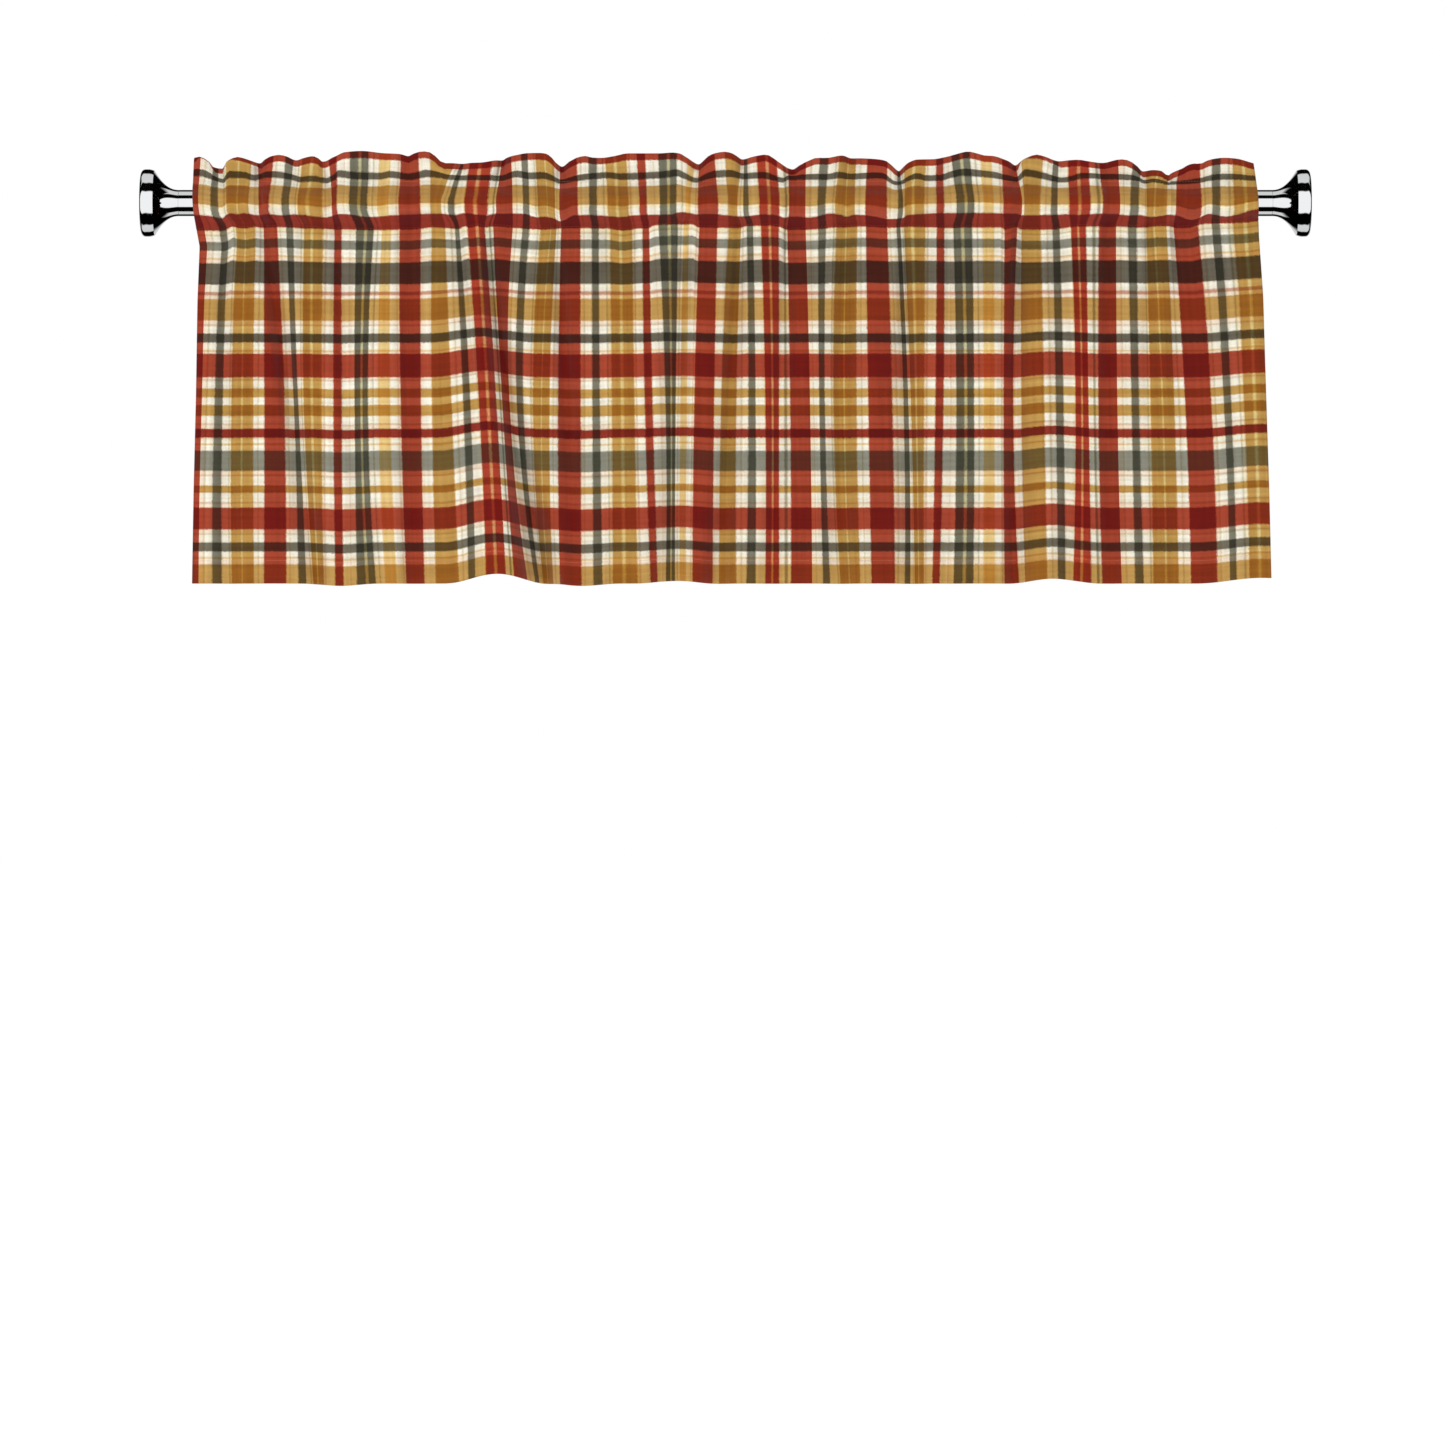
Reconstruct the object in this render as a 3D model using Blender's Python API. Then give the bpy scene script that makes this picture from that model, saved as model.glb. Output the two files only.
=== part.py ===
"""A rod-pocket valance gathered on a plain chromed curtain rod with two flared disc finials.

Metres, +Z up. The rod's axis lies along X through the origin, at the middle of the rod's length.
The face that the room sees is at -Y. The lengths in the tables are in millimetres.
"""

import math
from collections import namedtuple

import bmesh
import bpy
import numpy as np

MM = 0.001

# Rod: a round steel tube, open at both ends, which the finials plug
ROD_RADIUS = 14.0
ROD_WALL = 1.0
ROD_HALF_LENGTH = 583.0
ROUND_STEPS = 48

# Finials: turned trumpets that end in a disc with a rounded rim
JOINT_GAP = 0.3
SPIGOT_LENGTH = 24.0
FLARE_LENGTH = 26.0
FLARE_POWER = 2.2
FLARE_STEPS = 8
NECK_RADIUS = 34.6
DISC_THICKNESS = 14.5
DISC_RADIUS = 36.0
LIP_WIDTH = 2.0
LIP_DEPTH = 0.7
LIP_TAPER = 3.0
RIM_DEPTH = 5.0
SPIGOT_CHAMFER = 1.0
RIM_STEPS = 4
FINIAL_STEPS = 44

# Cloth: one cut length, folded over and stitched twice for the header and the rod pocket
CLOTH_THICKNESS = 1.6
DOUBLED_THICKNESS = 2.6
HEM_WIDTH = 25.0
SIDE_HEM_WIDTH = 12.0
HEM_EXTRA = 0.9
HEM_STEP = 1.5
UPPER_SEAM_HEIGHT = 23.0
LOWER_SEAM_HEIGHT = -26.0
HEM_HEIGHT = -405.5
POCKET_RADIUS = 15.5
POCKET_INSET = 1.8

# How the gathers stand in front of and behind the rod's axis
HEADER_CREST = -4.0
HEADER_LIMIT = 12.0
SEAM_CREST = -2.5
SEAM_LIMIT = 6.0
FRONT_PUFF = 5.5
BACK_PUFF = 4.0
PUFF_ROUNDNESS = 0.8
ROD_SPREAD = 1.3
PANEL_CREST = -7.0
BELLY_SHARE = 0.05
BELLY_LIMIT = 4.0
SEAM_REACH = 0.25

# Heights on the cloth are told as a drop: 0 at the lower seam, 1 at the hem and -1 at the top edge
PANEL_LENGTH = LOWER_SEAM_HEIGHT - HEM_HEIGHT
UPPER_SEAM_DROP = -0.65

# The gathers, from left to right. head, seam, middle and hem are the fold's place along the rod at four
# heights, take_* is the cloth that the fold takes up, half_* is half its width, crest is the height of the
# top edge to the right of it, and dip and dip_half are the notch that it makes there.
Fold = namedtuple(
    "Fold",
    "head seam middle hem take_rod take_middle take_hem half_rod half_hem crest dip dip_half",
)
FOLDS = (
    Fold(-543, -537, -533, -529, 9, 4, 4, 9, 20, 49, 12, 16),
    Fold(-499, -493, -463, -435, 16, 14, 16, 7, 20, 50, 7, 19),
    Fold(-458, -451, -433, -406, 4, 0, 0, 7, 12, 49, 5, 15),
    Fold(-427, -417, -401, -379, 7, 2, 1, 7, 18, 55, 8, 15),
    Fold(-338, -337, -335, -331, 3, 3, 8, 9, 22, 55, 4, 21),
    Fold(-281, -285, -241, -202, 20, 32, 48, 9, 30, 48, 10, 38),
    Fold(-236, -225, -205, -176, 16, 4, 0, 8, 12, 53, 1, 12),
    Fold(-174, -179, -169, -158, 20, 8, 4, 8, 18, 49, 12, 19),
    Fold(-133, -134, -131, -128, 4, 0, 0, 9, 14, 53, 3, 21),
    Fold(-30, -44, -54, -57, 16, 24, 34, 8, 24, 55, 12, 21),
    Fold(19, 14, 5, -8, 22, 14, 14, 8, 21, 51, 6, 17),
    Fold(72, 68, 59, 50, 10, 6, 8, 8, 19, 49, 13, 28),
    Fold(133, 128, 124, 120, 10, 9, 12, 10, 25, 47, 1, 20),
    Fold(186, 188, 194, 201, 17, 24, 31, 6, 21, 47, 13, 19),
    Fold(236, 240, 240, 242, 8, 2, 1, 10, 16, 54, 1, 15),
    Fold(309, 312, 311, 310, 16, 14, 17, 7, 19, 51, 11, 27),
    Fold(355, 353, 359, 367, 7, 4, 8, 9, 22, 46, 3, 17),
    Fold(402, 408, 409, 410, 7, 3, 4, 8, 18, 46, 3, 15),
    Fold(447, 450, 451, 453, 9, 1, 0, 7, 14, 37, 7, 15),
    Fold(475, 479, 481, 483, 6, 0, 0, 7, 14, 50, 11, 21),
)
CREST_AT_LEFT_EDGE = 49.0
CREST_AT_RIGHT_EDGE = 43.0

# Long soft ridges that stand towards the room, and how far each draws the cloth up
Ridge = namedtuple("Ridge", "seam hem out_seam out_hem lift_seam lift_hem half")
RIDGES = (
    Ridge(-410, -410, 0, 3, 0, -2.5, 40),
    Ridge(-266, -243, 4, 22, 4, 10, 56),
    Ridge(-152, -152, 0, 4, 0, -2.5, 40),
    Ridge(-53, -53, 1, 3, 1, 3, 42),
    Ridge(352, 350, 1, 8, 1, 5, 50),
    Ridge(572, 572, 0, 4, 1, 6, 70),
)

# The two side edges: height and place along the rod
Edge = namedtuple("Edge", "height left right")
EDGES = (
    Edge(-405.5, -568.2, 581.2),
    Edge(-307.0, -566.5, 578.8),
    Edge(-206.0, -564.0, 575.6),
    Edge(-104.0, -562.4, 572.6),
    Edge(-45.0, -560.3, 568.5),
    Edge(-15.0, -566.0, 567.5),
    Edge(17.0, -567.6, 566.0),
    Edge(49.0, -563.9, 562.8),
)

# Where the mesh has its columns between two folds, and its rows from the hem to the lower seam
WIDE_GAP = (0.0, 0.08, 0.2, 0.4, 0.6, 0.8, 0.92)
MIDDLE_GAP = (0.0, 0.13, 0.3, 0.5, 0.7, 0.87)
NARROW_GAP = (0.0, 0.28, 0.5, 0.72)
WIDE_FROM = 78.0
MIDDLE_FROM = 48.0
HEM_TOP = 1.0 - HEM_WIDTH / PANEL_LENGTH
PANEL_ROWS = (1.0, HEM_TOP, HEM_TOP - 2.0 * HEM_STEP / PANEL_LENGTH, 0.78, 0.62, 0.47, 0.32, 0.18, 0.07)
HEM_ROWS = 2
SIDE_HEM_COLUMNS = (0, 1, -2, -1)
HEADER_ROWS = (0.45, 1.0)
ARC_STEPS = 4

# Finish: the colours are linear, and an edge sharper than these angles in degrees stays hard
CHROME_COLOUR = (0.62, 0.63, 0.64)
CHROME_ROUGHNESS = 0.12
PLAID_COLOUR = (0.45, 0.25, 0.13)
PLAID_ROUGHNESS = 0.85
METAL_EDGE = 40.0
CLOTH_EDGE = 60.0


def clear_scene():
    for thing in list(bpy.data.objects):
        bpy.data.objects.remove(thing, do_unlink=True)


def material(name, colour, roughness, metallic=0.0):
    made = bpy.data.materials.new(name)
    made.use_nodes = True
    shader = made.node_tree.nodes["Principled BSDF"]
    shader.inputs["Base Color"].default_value = (*colour, 1.0)
    shader.inputs["Roughness"].default_value = roughness
    shader.inputs["Metallic"].default_value = metallic
    return made


def add_object(name, points, faces, finish, smooth_angle):
    """One closed body, from points in millimetres, with its faces turned outwards."""
    mesh = bpy.data.meshes.new(name)
    mesh.from_pydata([tuple(value * MM for value in point) for point in points], [], faces)
    shell = bmesh.new()
    shell.from_mesh(mesh)
    bmesh.ops.recalc_face_normals(shell, faces=shell.faces)
    bmesh.ops.triangulate(shell, faces=shell.faces)
    shell.to_mesh(mesh)
    shell.free()
    mesh.shade_smooth()
    mesh.set_sharp_from_angle(angle=math.radians(smooth_angle))
    mesh.materials.append(finish)
    made = bpy.data.objects.new(name, mesh)
    bpy.context.scene.collection.objects.link(made)
    return made


def turned(profile, steps, closed):
    """Points and faces of a profile of (x, radius) rows turned about the X axis.

    A closed profile makes a ring, and an open one starts and ends on the axis.
    """
    points = []
    for x, radius in profile:
        for step in range(steps):
            angle = 2 * math.pi * step / steps
            points.append((x, radius * math.cos(angle), radius * math.sin(angle)))
    faces = []
    rings = len(profile)
    for ring in range(rings if closed else rings - 1):
        after = (ring + 1) % rings
        for step in range(steps):
            turn = (step + 1) % steps
            faces.append(
                (ring * steps + step, ring * steps + turn, after * steps + turn, after * steps + step)
            )
    if not closed:
        faces.append(tuple(range(steps)))
        faces.append(tuple((rings - 1) * steps + step for step in range(steps)))
    return points, faces


def add_rod(finish):
    bore = ROD_RADIUS - ROD_WALL
    profile = (
        (-ROD_HALF_LENGTH, ROD_RADIUS),
        (ROD_HALF_LENGTH, ROD_RADIUS),
        (ROD_HALF_LENGTH, bore),
        (-ROD_HALF_LENGTH, bore),
    )
    add_object("rod", *turned(profile, ROUND_STEPS, closed=True), finish, METAL_EDGE)


def finial_profile():
    """The turned outline, from the spigot's end to the disc's outer face, as (distance out, radius)."""
    spigot = ROD_RADIUS - ROD_WALL - JOINT_GAP
    outline = [(-SPIGOT_LENGTH, spigot - SPIGOT_CHAMFER)]
    outline += [(-SPIGOT_LENGTH + SPIGOT_CHAMFER, spigot), (JOINT_GAP, spigot)]
    for step in range(FLARE_STEPS + 1):
        part = step / FLARE_STEPS
        reach = JOINT_GAP + (FLARE_LENGTH - JOINT_GAP) * part
        outline.append((reach, ROD_RADIUS + (NECK_RADIUS - ROD_RADIUS) * part**FLARE_POWER))
    inner_rim = FLARE_LENGTH + LIP_WIDTH
    outer_rim = FLARE_LENGTH + DISC_THICKNESS
    outline.append((inner_rim, DISC_RADIUS - LIP_DEPTH))
    outline.append((inner_rim + LIP_TAPER, DISC_RADIUS))
    for step in range(RIM_STEPS + 1):
        angle = 0.5 * math.pi * step / RIM_STEPS
        reach = outer_rim - RIM_DEPTH * (1.0 - math.sin(angle))
        outline.append((reach, DISC_RADIUS - RIM_DEPTH * (1.0 - math.cos(angle))))
    return outline


def add_finial(name, side, finish):
    profile = [(side * (ROD_HALF_LENGTH + reach), radius) for reach, radius in finial_profile()]
    add_object(name, *turned(profile, FINIAL_STEPS, closed=False), finish, METAL_EDGE)


def arc_share():
    """How much longer a cosine trough is than its width, for a list of its steepest slopes."""
    slopes = np.linspace(0.0, 8.0, 161)
    phase = np.linspace(0.0, math.pi, 65)
    share = np.sqrt(1.0 + (slopes[:, None] * np.sin(phase)) ** 2).mean(axis=1)
    return slopes, share


SLOPES, SHARES = arc_share()


def trough_depth(take, half):
    """The depth at which a trough of this half width takes up this much cloth."""
    return np.interp(1.0 + take / (2.0 * half), SHARES, SLOPES) * 2.0 * half / math.pi


def bump(distance, half):
    """1 at the middle, falling smoothly to 0 at half to each side."""
    return 0.5 * (1.0 + np.cos(math.pi * np.clip(distance / half, -1.0, 1.0)))


def ease(part):
    return part * part * (3.0 - 2.0 * part)


def fold_centres(drop):
    """The folds' places along the rod at one drop."""
    if drop < 0.0:
        return np.array([fold.seam + (fold.head - fold.seam) * -drop for fold in FOLDS], float)
    places = []
    for fold in FOLDS:
        upper = (fold.seam, fold.middle, 2.0 * drop)
        lower = (fold.middle, fold.hem, 2.0 * drop - 1.0)
        start, end, part = upper if drop < 0.5 else lower
        places.append(start + (end - start) * part)
    return np.array(places, float)


def gap_shares(span):
    """Where the columns stand between two folds that lie this far apart."""
    if span > WIDE_FROM:
        return WIDE_GAP
    return MIDDLE_GAP if span > MIDDLE_FROM else NARROW_GAP


def columns(drop, height):
    """The places along the rod of the mesh's columns at one height of the cloth."""
    heights = [edge.height for edge in EDGES]
    left = np.interp(height, heights, [edge.left for edge in EDGES])
    right = np.interp(height, heights, [edge.right for edge in EDGES])
    centres = fold_centres(drop)
    places = [left, left + SIDE_HEM_WIDTH, left + SIDE_HEM_WIDTH + HEM_STEP]
    for index, (start, end) in enumerate(zip(centres[:-1], centres[1:])):
        shares = gap_shares(FOLDS[index + 1].seam - FOLDS[index].seam)
        places += [start + (end - start) * share for share in shares]
    inner = right - SIDE_HEM_WIDTH - HEM_STEP
    places += [centres[-1] + (inner - centres[-1]) * share for share in MIDDLE_GAP[:-1]]
    places += [inner, right - SIDE_HEM_WIDTH, right]
    return np.array(places)


def belly(x, centres):
    """The soft forward curve of the cloth between two folds."""
    stops = np.array([x[0], *centres, x[-1]])
    index = np.clip(np.searchsorted(stops, x, side="right") - 1, 0, len(stops) - 2)
    span = stops[index + 1] - stops[index]
    part = (x - stops[index]) / np.maximum(span, 1.0)
    return np.minimum(BELLY_SHARE * span, BELLY_LIMIT) * np.sin(math.pi * part) ** 2


def rod_troughs(x, drop, limit):
    """How far the gathers go back at the header, the seams and the pocket, none further than limit."""
    total = np.zeros_like(x)
    for fold, centre in zip(FOLDS, fold_centres(drop)):
        depth = min(trough_depth(fold.take_rod, fold.half_rod), limit)
        total = np.maximum(total, depth * bump(x - centre, fold.half_rod * ROD_SPREAD))
    return total


def panel_troughs(x, drop):
    """How far the folds of the hanging panel go back."""
    total = np.zeros_like(x)
    for fold, centre in zip(FOLDS, fold_centres(drop)):
        if drop < 0.5:
            take = fold.take_rod + (fold.take_middle - fold.take_rod) * math.sqrt(2.0 * drop)
        else:
            take = fold.take_middle + (fold.take_hem - fold.take_middle) * (2.0 * drop - 1.0)
        half = fold.half_rod + (fold.half_hem - fold.half_rod) * math.sqrt(drop)
        total += trough_depth(take, half) * bump(x - centre, half)
    return total


def ridge_sums(x, drop):
    """How far the ridges stand out, and how far they draw the cloth up."""
    out = np.zeros_like(x)
    lift = np.zeros_like(x)
    for ridge in RIDGES:
        centre = ridge.seam + (ridge.hem - ridge.seam) * drop
        shape = bump(x - centre, ridge.half)
        out += (ridge.out_seam + (ridge.out_hem - ridge.out_seam) * drop) * shape
        lift += (ridge.lift_seam + (ridge.lift_hem - ridge.lift_seam) * drop) * shape
    return out, lift


def top_edge(x, centres):
    """The height of the gathered top edge."""
    middles = [(start + end) / 2.0 for start, end in zip([*centres], [*centres[1:], x[-1]])]
    stops = [x[0], (x[0] + centres[0]) / 2.0, *middles[:-1], (centres[-1] + x[-1]) / 2.0, x[-1]]
    crests = [CREST_AT_LEFT_EDGE, CREST_AT_LEFT_EDGE, *(fold.crest for fold in FOLDS)]
    crests.append(CREST_AT_RIGHT_EDGE)
    height = np.interp(x, stops, crests)
    for fold, centre in zip(FOLDS, centres):
        height -= fold.dip * bump(x - centre, fold.dip_half)
    return height


def seam_line(drop, height):
    """A stitched line through the gathers, as columns of points."""
    x = columns(drop, height)
    out, lift = ridge_sums(x, 0.0)
    y = SEAM_CREST + rod_troughs(x, drop, SEAM_LIMIT) - out
    return np.stack([x, y, height + lift], axis=1)


def panel_rows():
    """The hanging panel's middle surface, a row for each height from the hem to just below the seam."""
    seam = seam_line(0.0, LOWER_SEAM_HEIGHT)
    rows = []
    for drop in PANEL_ROWS:
        height = LOWER_SEAM_HEIGHT - PANEL_LENGTH * drop
        x = columns(drop, height)
        out, lift = ridge_sums(x, drop)
        hanging = PANEL_CREST - belly(x, fold_centres(drop)) + panel_troughs(x, drop) - out
        share = ease(min(1.0, drop / SEAM_REACH))
        y = seam[:, 1] + (hanging - seam[:, 1]) * share
        rows.append(np.stack([x, y, height + lift], axis=1))
    return rows, seam


def header_rows(seam):
    """The header's middle surface above the upper seam."""
    rows = []
    for rise in HEADER_ROWS:
        place = UPPER_SEAM_DROP - (1.0 + UPPER_SEAM_DROP) * rise
        x = columns(place, UPPER_SEAM_HEIGHT)
        edge = top_edge(x, fold_centres(place))
        top_y = HEADER_CREST + rod_troughs(x, place, HEADER_LIMIT)
        y = seam[:, 1] + (top_y - seam[:, 1]) * rise
        z = seam[:, 2] + (edge - seam[:, 2]) * rise
        rows.append(np.stack([x, y, z], axis=1))
    return rows


def wrap(lower, upper, side, puff):
    """One wall of the pocket in a column: tangent from the lower seam, round the rod, tangent to the upper.

    side is -1 for the wall in front of the rod and 1 for the wall behind it.
    """
    turn_low = math.atan2(side * lower[1], -lower[2])
    turn_high = math.atan2(side * upper[1], -upper[2]) % (2.0 * math.pi)
    reach_low = math.hypot(lower[1], lower[2])
    reach_high = math.hypot(upper[1], upper[2])
    start = turn_low + math.acos(POCKET_RADIUS / reach_low)
    end = turn_high - math.acos(POCKET_RADIUS / reach_high)
    points = []
    for step in range(ARC_STEPS + 1):
        turn = start + (end - start) * step / ARC_STEPS
        share = math.sin(math.pi * (step + 1) / (ARC_STEPS + 2)) ** PUFF_ROUNDNESS
        radius = POCKET_RADIUS + puff * share
        points.append((side * radius * math.sin(turn), -radius * math.cos(turn)))
    return points


def pocket_wall(lower, upper, side, puffs):
    """The rows of one wall of the pocket, from just above the lower seam to just below the upper one."""
    wall = []
    for low, high, puff in zip(lower, upper, puffs):
        path = wrap(low, high, side, puff)
        count = len(path) + 1
        places = [low[0] + (high[0] - low[0]) * step / count for step in range(1, count)]
        wall.append([(x, y, z) for x, (y, z) in zip(places, path)])
    return [np.array(row, float) for row in zip(*wall)]


def normals(rows):
    """The unit normal at each point of a surface given in rows, towards -Y for rows that run upwards."""
    grid = np.array(rows)
    along = np.gradient(grid, axis=1)
    up = np.gradient(grid, axis=0)
    across = np.cross(along, up)
    return across / np.linalg.norm(across, axis=2, keepdims=True)


def thickened(rows, front, back):
    """Two skins, front at -Y and back at +Y of a surface in rows that run upwards."""
    facing = normals(rows)
    grid = np.array(rows)
    return grid + facing * front, grid - facing * back


def add_valance(finish):
    panel, lower = panel_rows()
    upper = seam_line(UPPER_SEAM_DROP, UPPER_SEAM_HEIGHT)
    header = header_rows(upper)
    x = lower[:, 0]
    depth = rod_troughs(x, 0.0, FRONT_PUFF)
    front_puff = np.maximum(FRONT_PUFF - depth, 0.0)
    back_puff = BACK_PUFF * depth / FRONT_PUFF
    front_wall = pocket_wall(lower, upper, -1, front_puff)
    back_wall = pocket_wall(lower, upper, 1, back_puff)

    half = CLOTH_THICKNESS / 2.0
    doubled = DOUBLED_THICKNESS / 2.0
    front_skin, back_skin = thickened([*panel, lower], half, half)
    facing = normals([*panel, lower])
    back_skin[:HEM_ROWS] -= facing[:HEM_ROWS] * HEM_EXTRA
    for column in SIDE_HEM_COLUMNS:
        back_skin[HEM_ROWS:-1, column] -= facing[HEM_ROWS:-1, column] * HEM_EXTRA
    seam_front = lower + facing[-1] * doubled
    seam_back = lower - facing[-1] * doubled
    top_front, top_back = thickened([upper, *header], doubled, doubled)
    outer_front, inner_front = thickened([lower, *front_wall, upper], half, half)
    inner_back, outer_back = thickened([lower, *back_wall, upper], half, half)
    apex_low = lower + np.array([0.0, 0.0, POCKET_INSET])
    apex_high = upper - np.array([0.0, 0.0, POCKET_INSET])

    outline = [*front_skin[:-1], seam_front, *outer_front[1:-1], *top_front]
    outline += [*top_back[::-1], *outer_back[1:-1][::-1], seam_back, *back_skin[:-1][::-1]]
    tunnel = [apex_low, *inner_front[1:-1], apex_high, *inner_back[1:-1][::-1]]
    points, faces = skins(outline, tunnel)
    faces += end_caps(len(panel), len(front_wall), len(header), len(lower), len(outline))
    add_object("valance", points, faces, finish, CLOTH_EDGE)


def skins(outline, tunnel):
    """The outer skin and the pocket's inner skin: quads between one row of points and the next."""
    points = []
    faces = []
    for loop in (outline, tunnel):
        start = len(points)
        width = len(loop[0])
        for row in loop:
            points += [tuple(point) for point in row]
        for index in range(len(loop)):
            here = start + index * width
            after = start + ((index + 1) % len(loop)) * width
            for column in range(width - 1):
                faces.append((here + column, here + column + 1, after + column + 1, after + column))
    return points, faces


def end_caps(panel, wall, header, width, outline):
    """The cut section of the cloth at its two side edges."""
    seam = panel
    top = seam + 1 + wall
    last = outline - 1
    tunnel_high = outline + 1 + wall
    front = [seam, *range(seam + 1, seam + 1 + wall), top]
    inside = [outline, *range(outline + 1, outline + 1 + wall), tunnel_high]
    behind = [last - seam, *(last - row for row in range(seam + 1, seam + 1 + wall)), last - top]
    rear = [outline, *(tunnel_high + 1 + row for row in reversed(range(wall))), tunnel_high]
    cells = [(row, row + 1, last - row - 1, last - row) for row in range(panel)]
    cells += [(row, row + 1, last - row - 1, last - row) for row in range(top, top + header)]
    for skin, lining in ((front, inside), (behind, rear)):
        for row in range(wall + 1):
            cells.append((skin[row], skin[row + 1], lining[row + 1], lining[row]))
    cells.append((front[0], inside[0], behind[0]))
    cells.append((front[-1], inside[-1], behind[-1]))
    faces = []
    for column in (0, width - 1):
        faces += [tuple(row * width + column for row in cell) for cell in cells]
    return faces


clear_scene()
chrome = material("chromed steel", CHROME_COLOUR, CHROME_ROUGHNESS, metallic=1.0)
plaid = material("autumn plaid cotton", PLAID_COLOUR, PLAID_ROUGHNESS)
add_rod(chrome)
add_finial("finial_left", -1, chrome)
add_finial("finial_right", 1, chrome)
add_valance(plaid)
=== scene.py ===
"""The looks of a rod-pocket plaid valance gathered on a chromed curtain rod with two disc finials.

Metres, +Z up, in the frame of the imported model: the rod's axis lies along X through the origin and the
face that the room sees is at -Y. The lengths in the tables and in the cloth's own functions are in
millimetres, and MM turns them into metres.
"""

import math
from collections import namedtuple

import bmesh
import bpy
import numpy as np
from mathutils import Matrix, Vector


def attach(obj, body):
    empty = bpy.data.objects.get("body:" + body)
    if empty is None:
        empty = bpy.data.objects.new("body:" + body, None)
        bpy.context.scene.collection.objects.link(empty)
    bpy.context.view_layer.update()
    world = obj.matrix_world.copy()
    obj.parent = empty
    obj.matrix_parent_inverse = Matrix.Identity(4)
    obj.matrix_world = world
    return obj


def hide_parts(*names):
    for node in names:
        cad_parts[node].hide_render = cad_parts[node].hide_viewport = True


MM = 0.001

# Rod and finials
ROD_RADIUS = 14.0
ROD_WALL = 1.0
ROD_HALF_LENGTH = 583.0
JOINT_GAP = 0.3
SPIGOT_LENGTH = 24.0
SPIGOT_CHAMFER = 1.0
FLARE_LENGTH = 26.0
FLARE_POWER = 2.2
FLARE_STEPS = 22
NECK_RADIUS = 34.6
DISC_THICKNESS = 14.5
DISC_RADIUS = 36.0
LIP_WIDTH = 2.0
LIP_DEPTH = 0.7
LIP_TAPER = 3.0
RIM_DEPTH = 5.0
RIM_STEPS = 10
TURNED_STEPS = 128

# Cloth: its seams, hems and layers
CLOTH_THICKNESS = 0.6
LAYER_GAP = 0.9
SEAM_GAP = 0.42
HEADER_GAP = 1.0
HEM_WIDTH = 25.0
SIDE_HEM_WIDTH = 12.0
TURN_UNDER = 10.0
TAIL_LEAN = 1.6
TAIL_INSET = 1.2
UPPER_SEAM_HEIGHT = 23.0
LOWER_SEAM_HEIGHT = -26.0
HEM_HEIGHT = -405.5
PANEL_LENGTH = LOWER_SEAM_HEIGHT - HEM_HEIGHT
UPPER_SEAM_DROP = -0.65
POCKET_RADIUS = 15.5
HEADER_LENGTH = 31.4
POCKET_LENGTH = 54.3
FLAT_WIDTH = 1371.8

# How the gathers stand in front of and behind the rod's axis
HEADER_CREST = -4.0
HEADER_LIMIT = 12.0
SEAM_CREST = -2.5
SEAM_LIMIT = 6.0
FRONT_PUFF = 5.5
BACK_PUFF = 4.0
PUFF_ROUNDNESS = 0.8
ROD_SPREAD = 1.3
PANEL_CREST = -7.0
BELLY_SHARE = 0.05
BELLY_LIMIT = 4.0
SEAM_REACH = 0.25
TROUGH_SHARE = 0.78
CRUMPLE_REACH = 0.6
SEAM_RISE_REACH = 0.30

# The gathers, from left to right. head, seam, middle and hem are the fold's place along the rod at four
# heights, take_* is the cloth that the fold takes up, half_* is half its width, crest is the height of the
# top edge to the right of it, and dip and dip_half are the notch that it makes there.
Fold = namedtuple(
    "Fold",
    "head seam middle hem take_rod take_middle take_hem half_rod half_hem crest dip dip_half",
)
FOLDS = (
    Fold(-543, -537, -533, -529, 9, 4, 4, 9, 20, 49, 12, 16),
    Fold(-499, -493, -463, -435, 16, 14, 16, 7, 20, 50, 7, 19),
    Fold(-458, -451, -433, -406, 4, 0, 0, 7, 12, 49, 5, 15),
    Fold(-427, -417, -401, -379, 7, 2, 1, 7, 18, 55, 8, 15),
    Fold(-338, -337, -335, -331, 3, 3, 8, 9, 22, 55, 4, 21),
    Fold(-281, -285, -268, -250, 20, 5, 0, 9, 14, 48, 10, 38),
    Fold(-236, -254, -232, -194, 16, 30, 46, 8, 28, 53, 1, 12),
    Fold(-174, -179, -169, -158, 20, 8, 4, 8, 18, 49, 12, 19),
    Fold(-133, -134, -131, -128, 4, 0, 0, 9, 14, 53, 3, 21),
    Fold(-30, -44, -54, -57, 16, 16, 20, 8, 26, 55, 12, 21),
    Fold(19, 14, 5, -8, 22, 14, 14, 8, 21, 51, 6, 17),
    Fold(72, 68, 59, 50, 10, 6, 8, 8, 19, 49, 13, 28),
    Fold(133, 128, 124, 120, 10, 9, 12, 10, 25, 47, 1, 20),
    Fold(186, 188, 194, 201, 17, 14, 17, 6, 24, 47, 13, 19),
    Fold(236, 240, 240, 242, 8, 2, 1, 10, 16, 54, 1, 15),
    Fold(309, 312, 311, 310, 16, 10, 12, 7, 21, 51, 11, 27),
    Fold(355, 353, 359, 367, 7, 4, 8, 9, 22, 46, 3, 17),
    Fold(402, 408, 409, 410, 7, 3, 4, 8, 18, 46, 3, 15),
    Fold(447, 450, 451, 453, 9, 1, 0, 7, 14, 37, 7, 15),
    Fold(475, 479, 481, 483, 6, 0, 0, 7, 14, 50, 11, 21),
)
HEADER_TOP = 49.0

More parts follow.
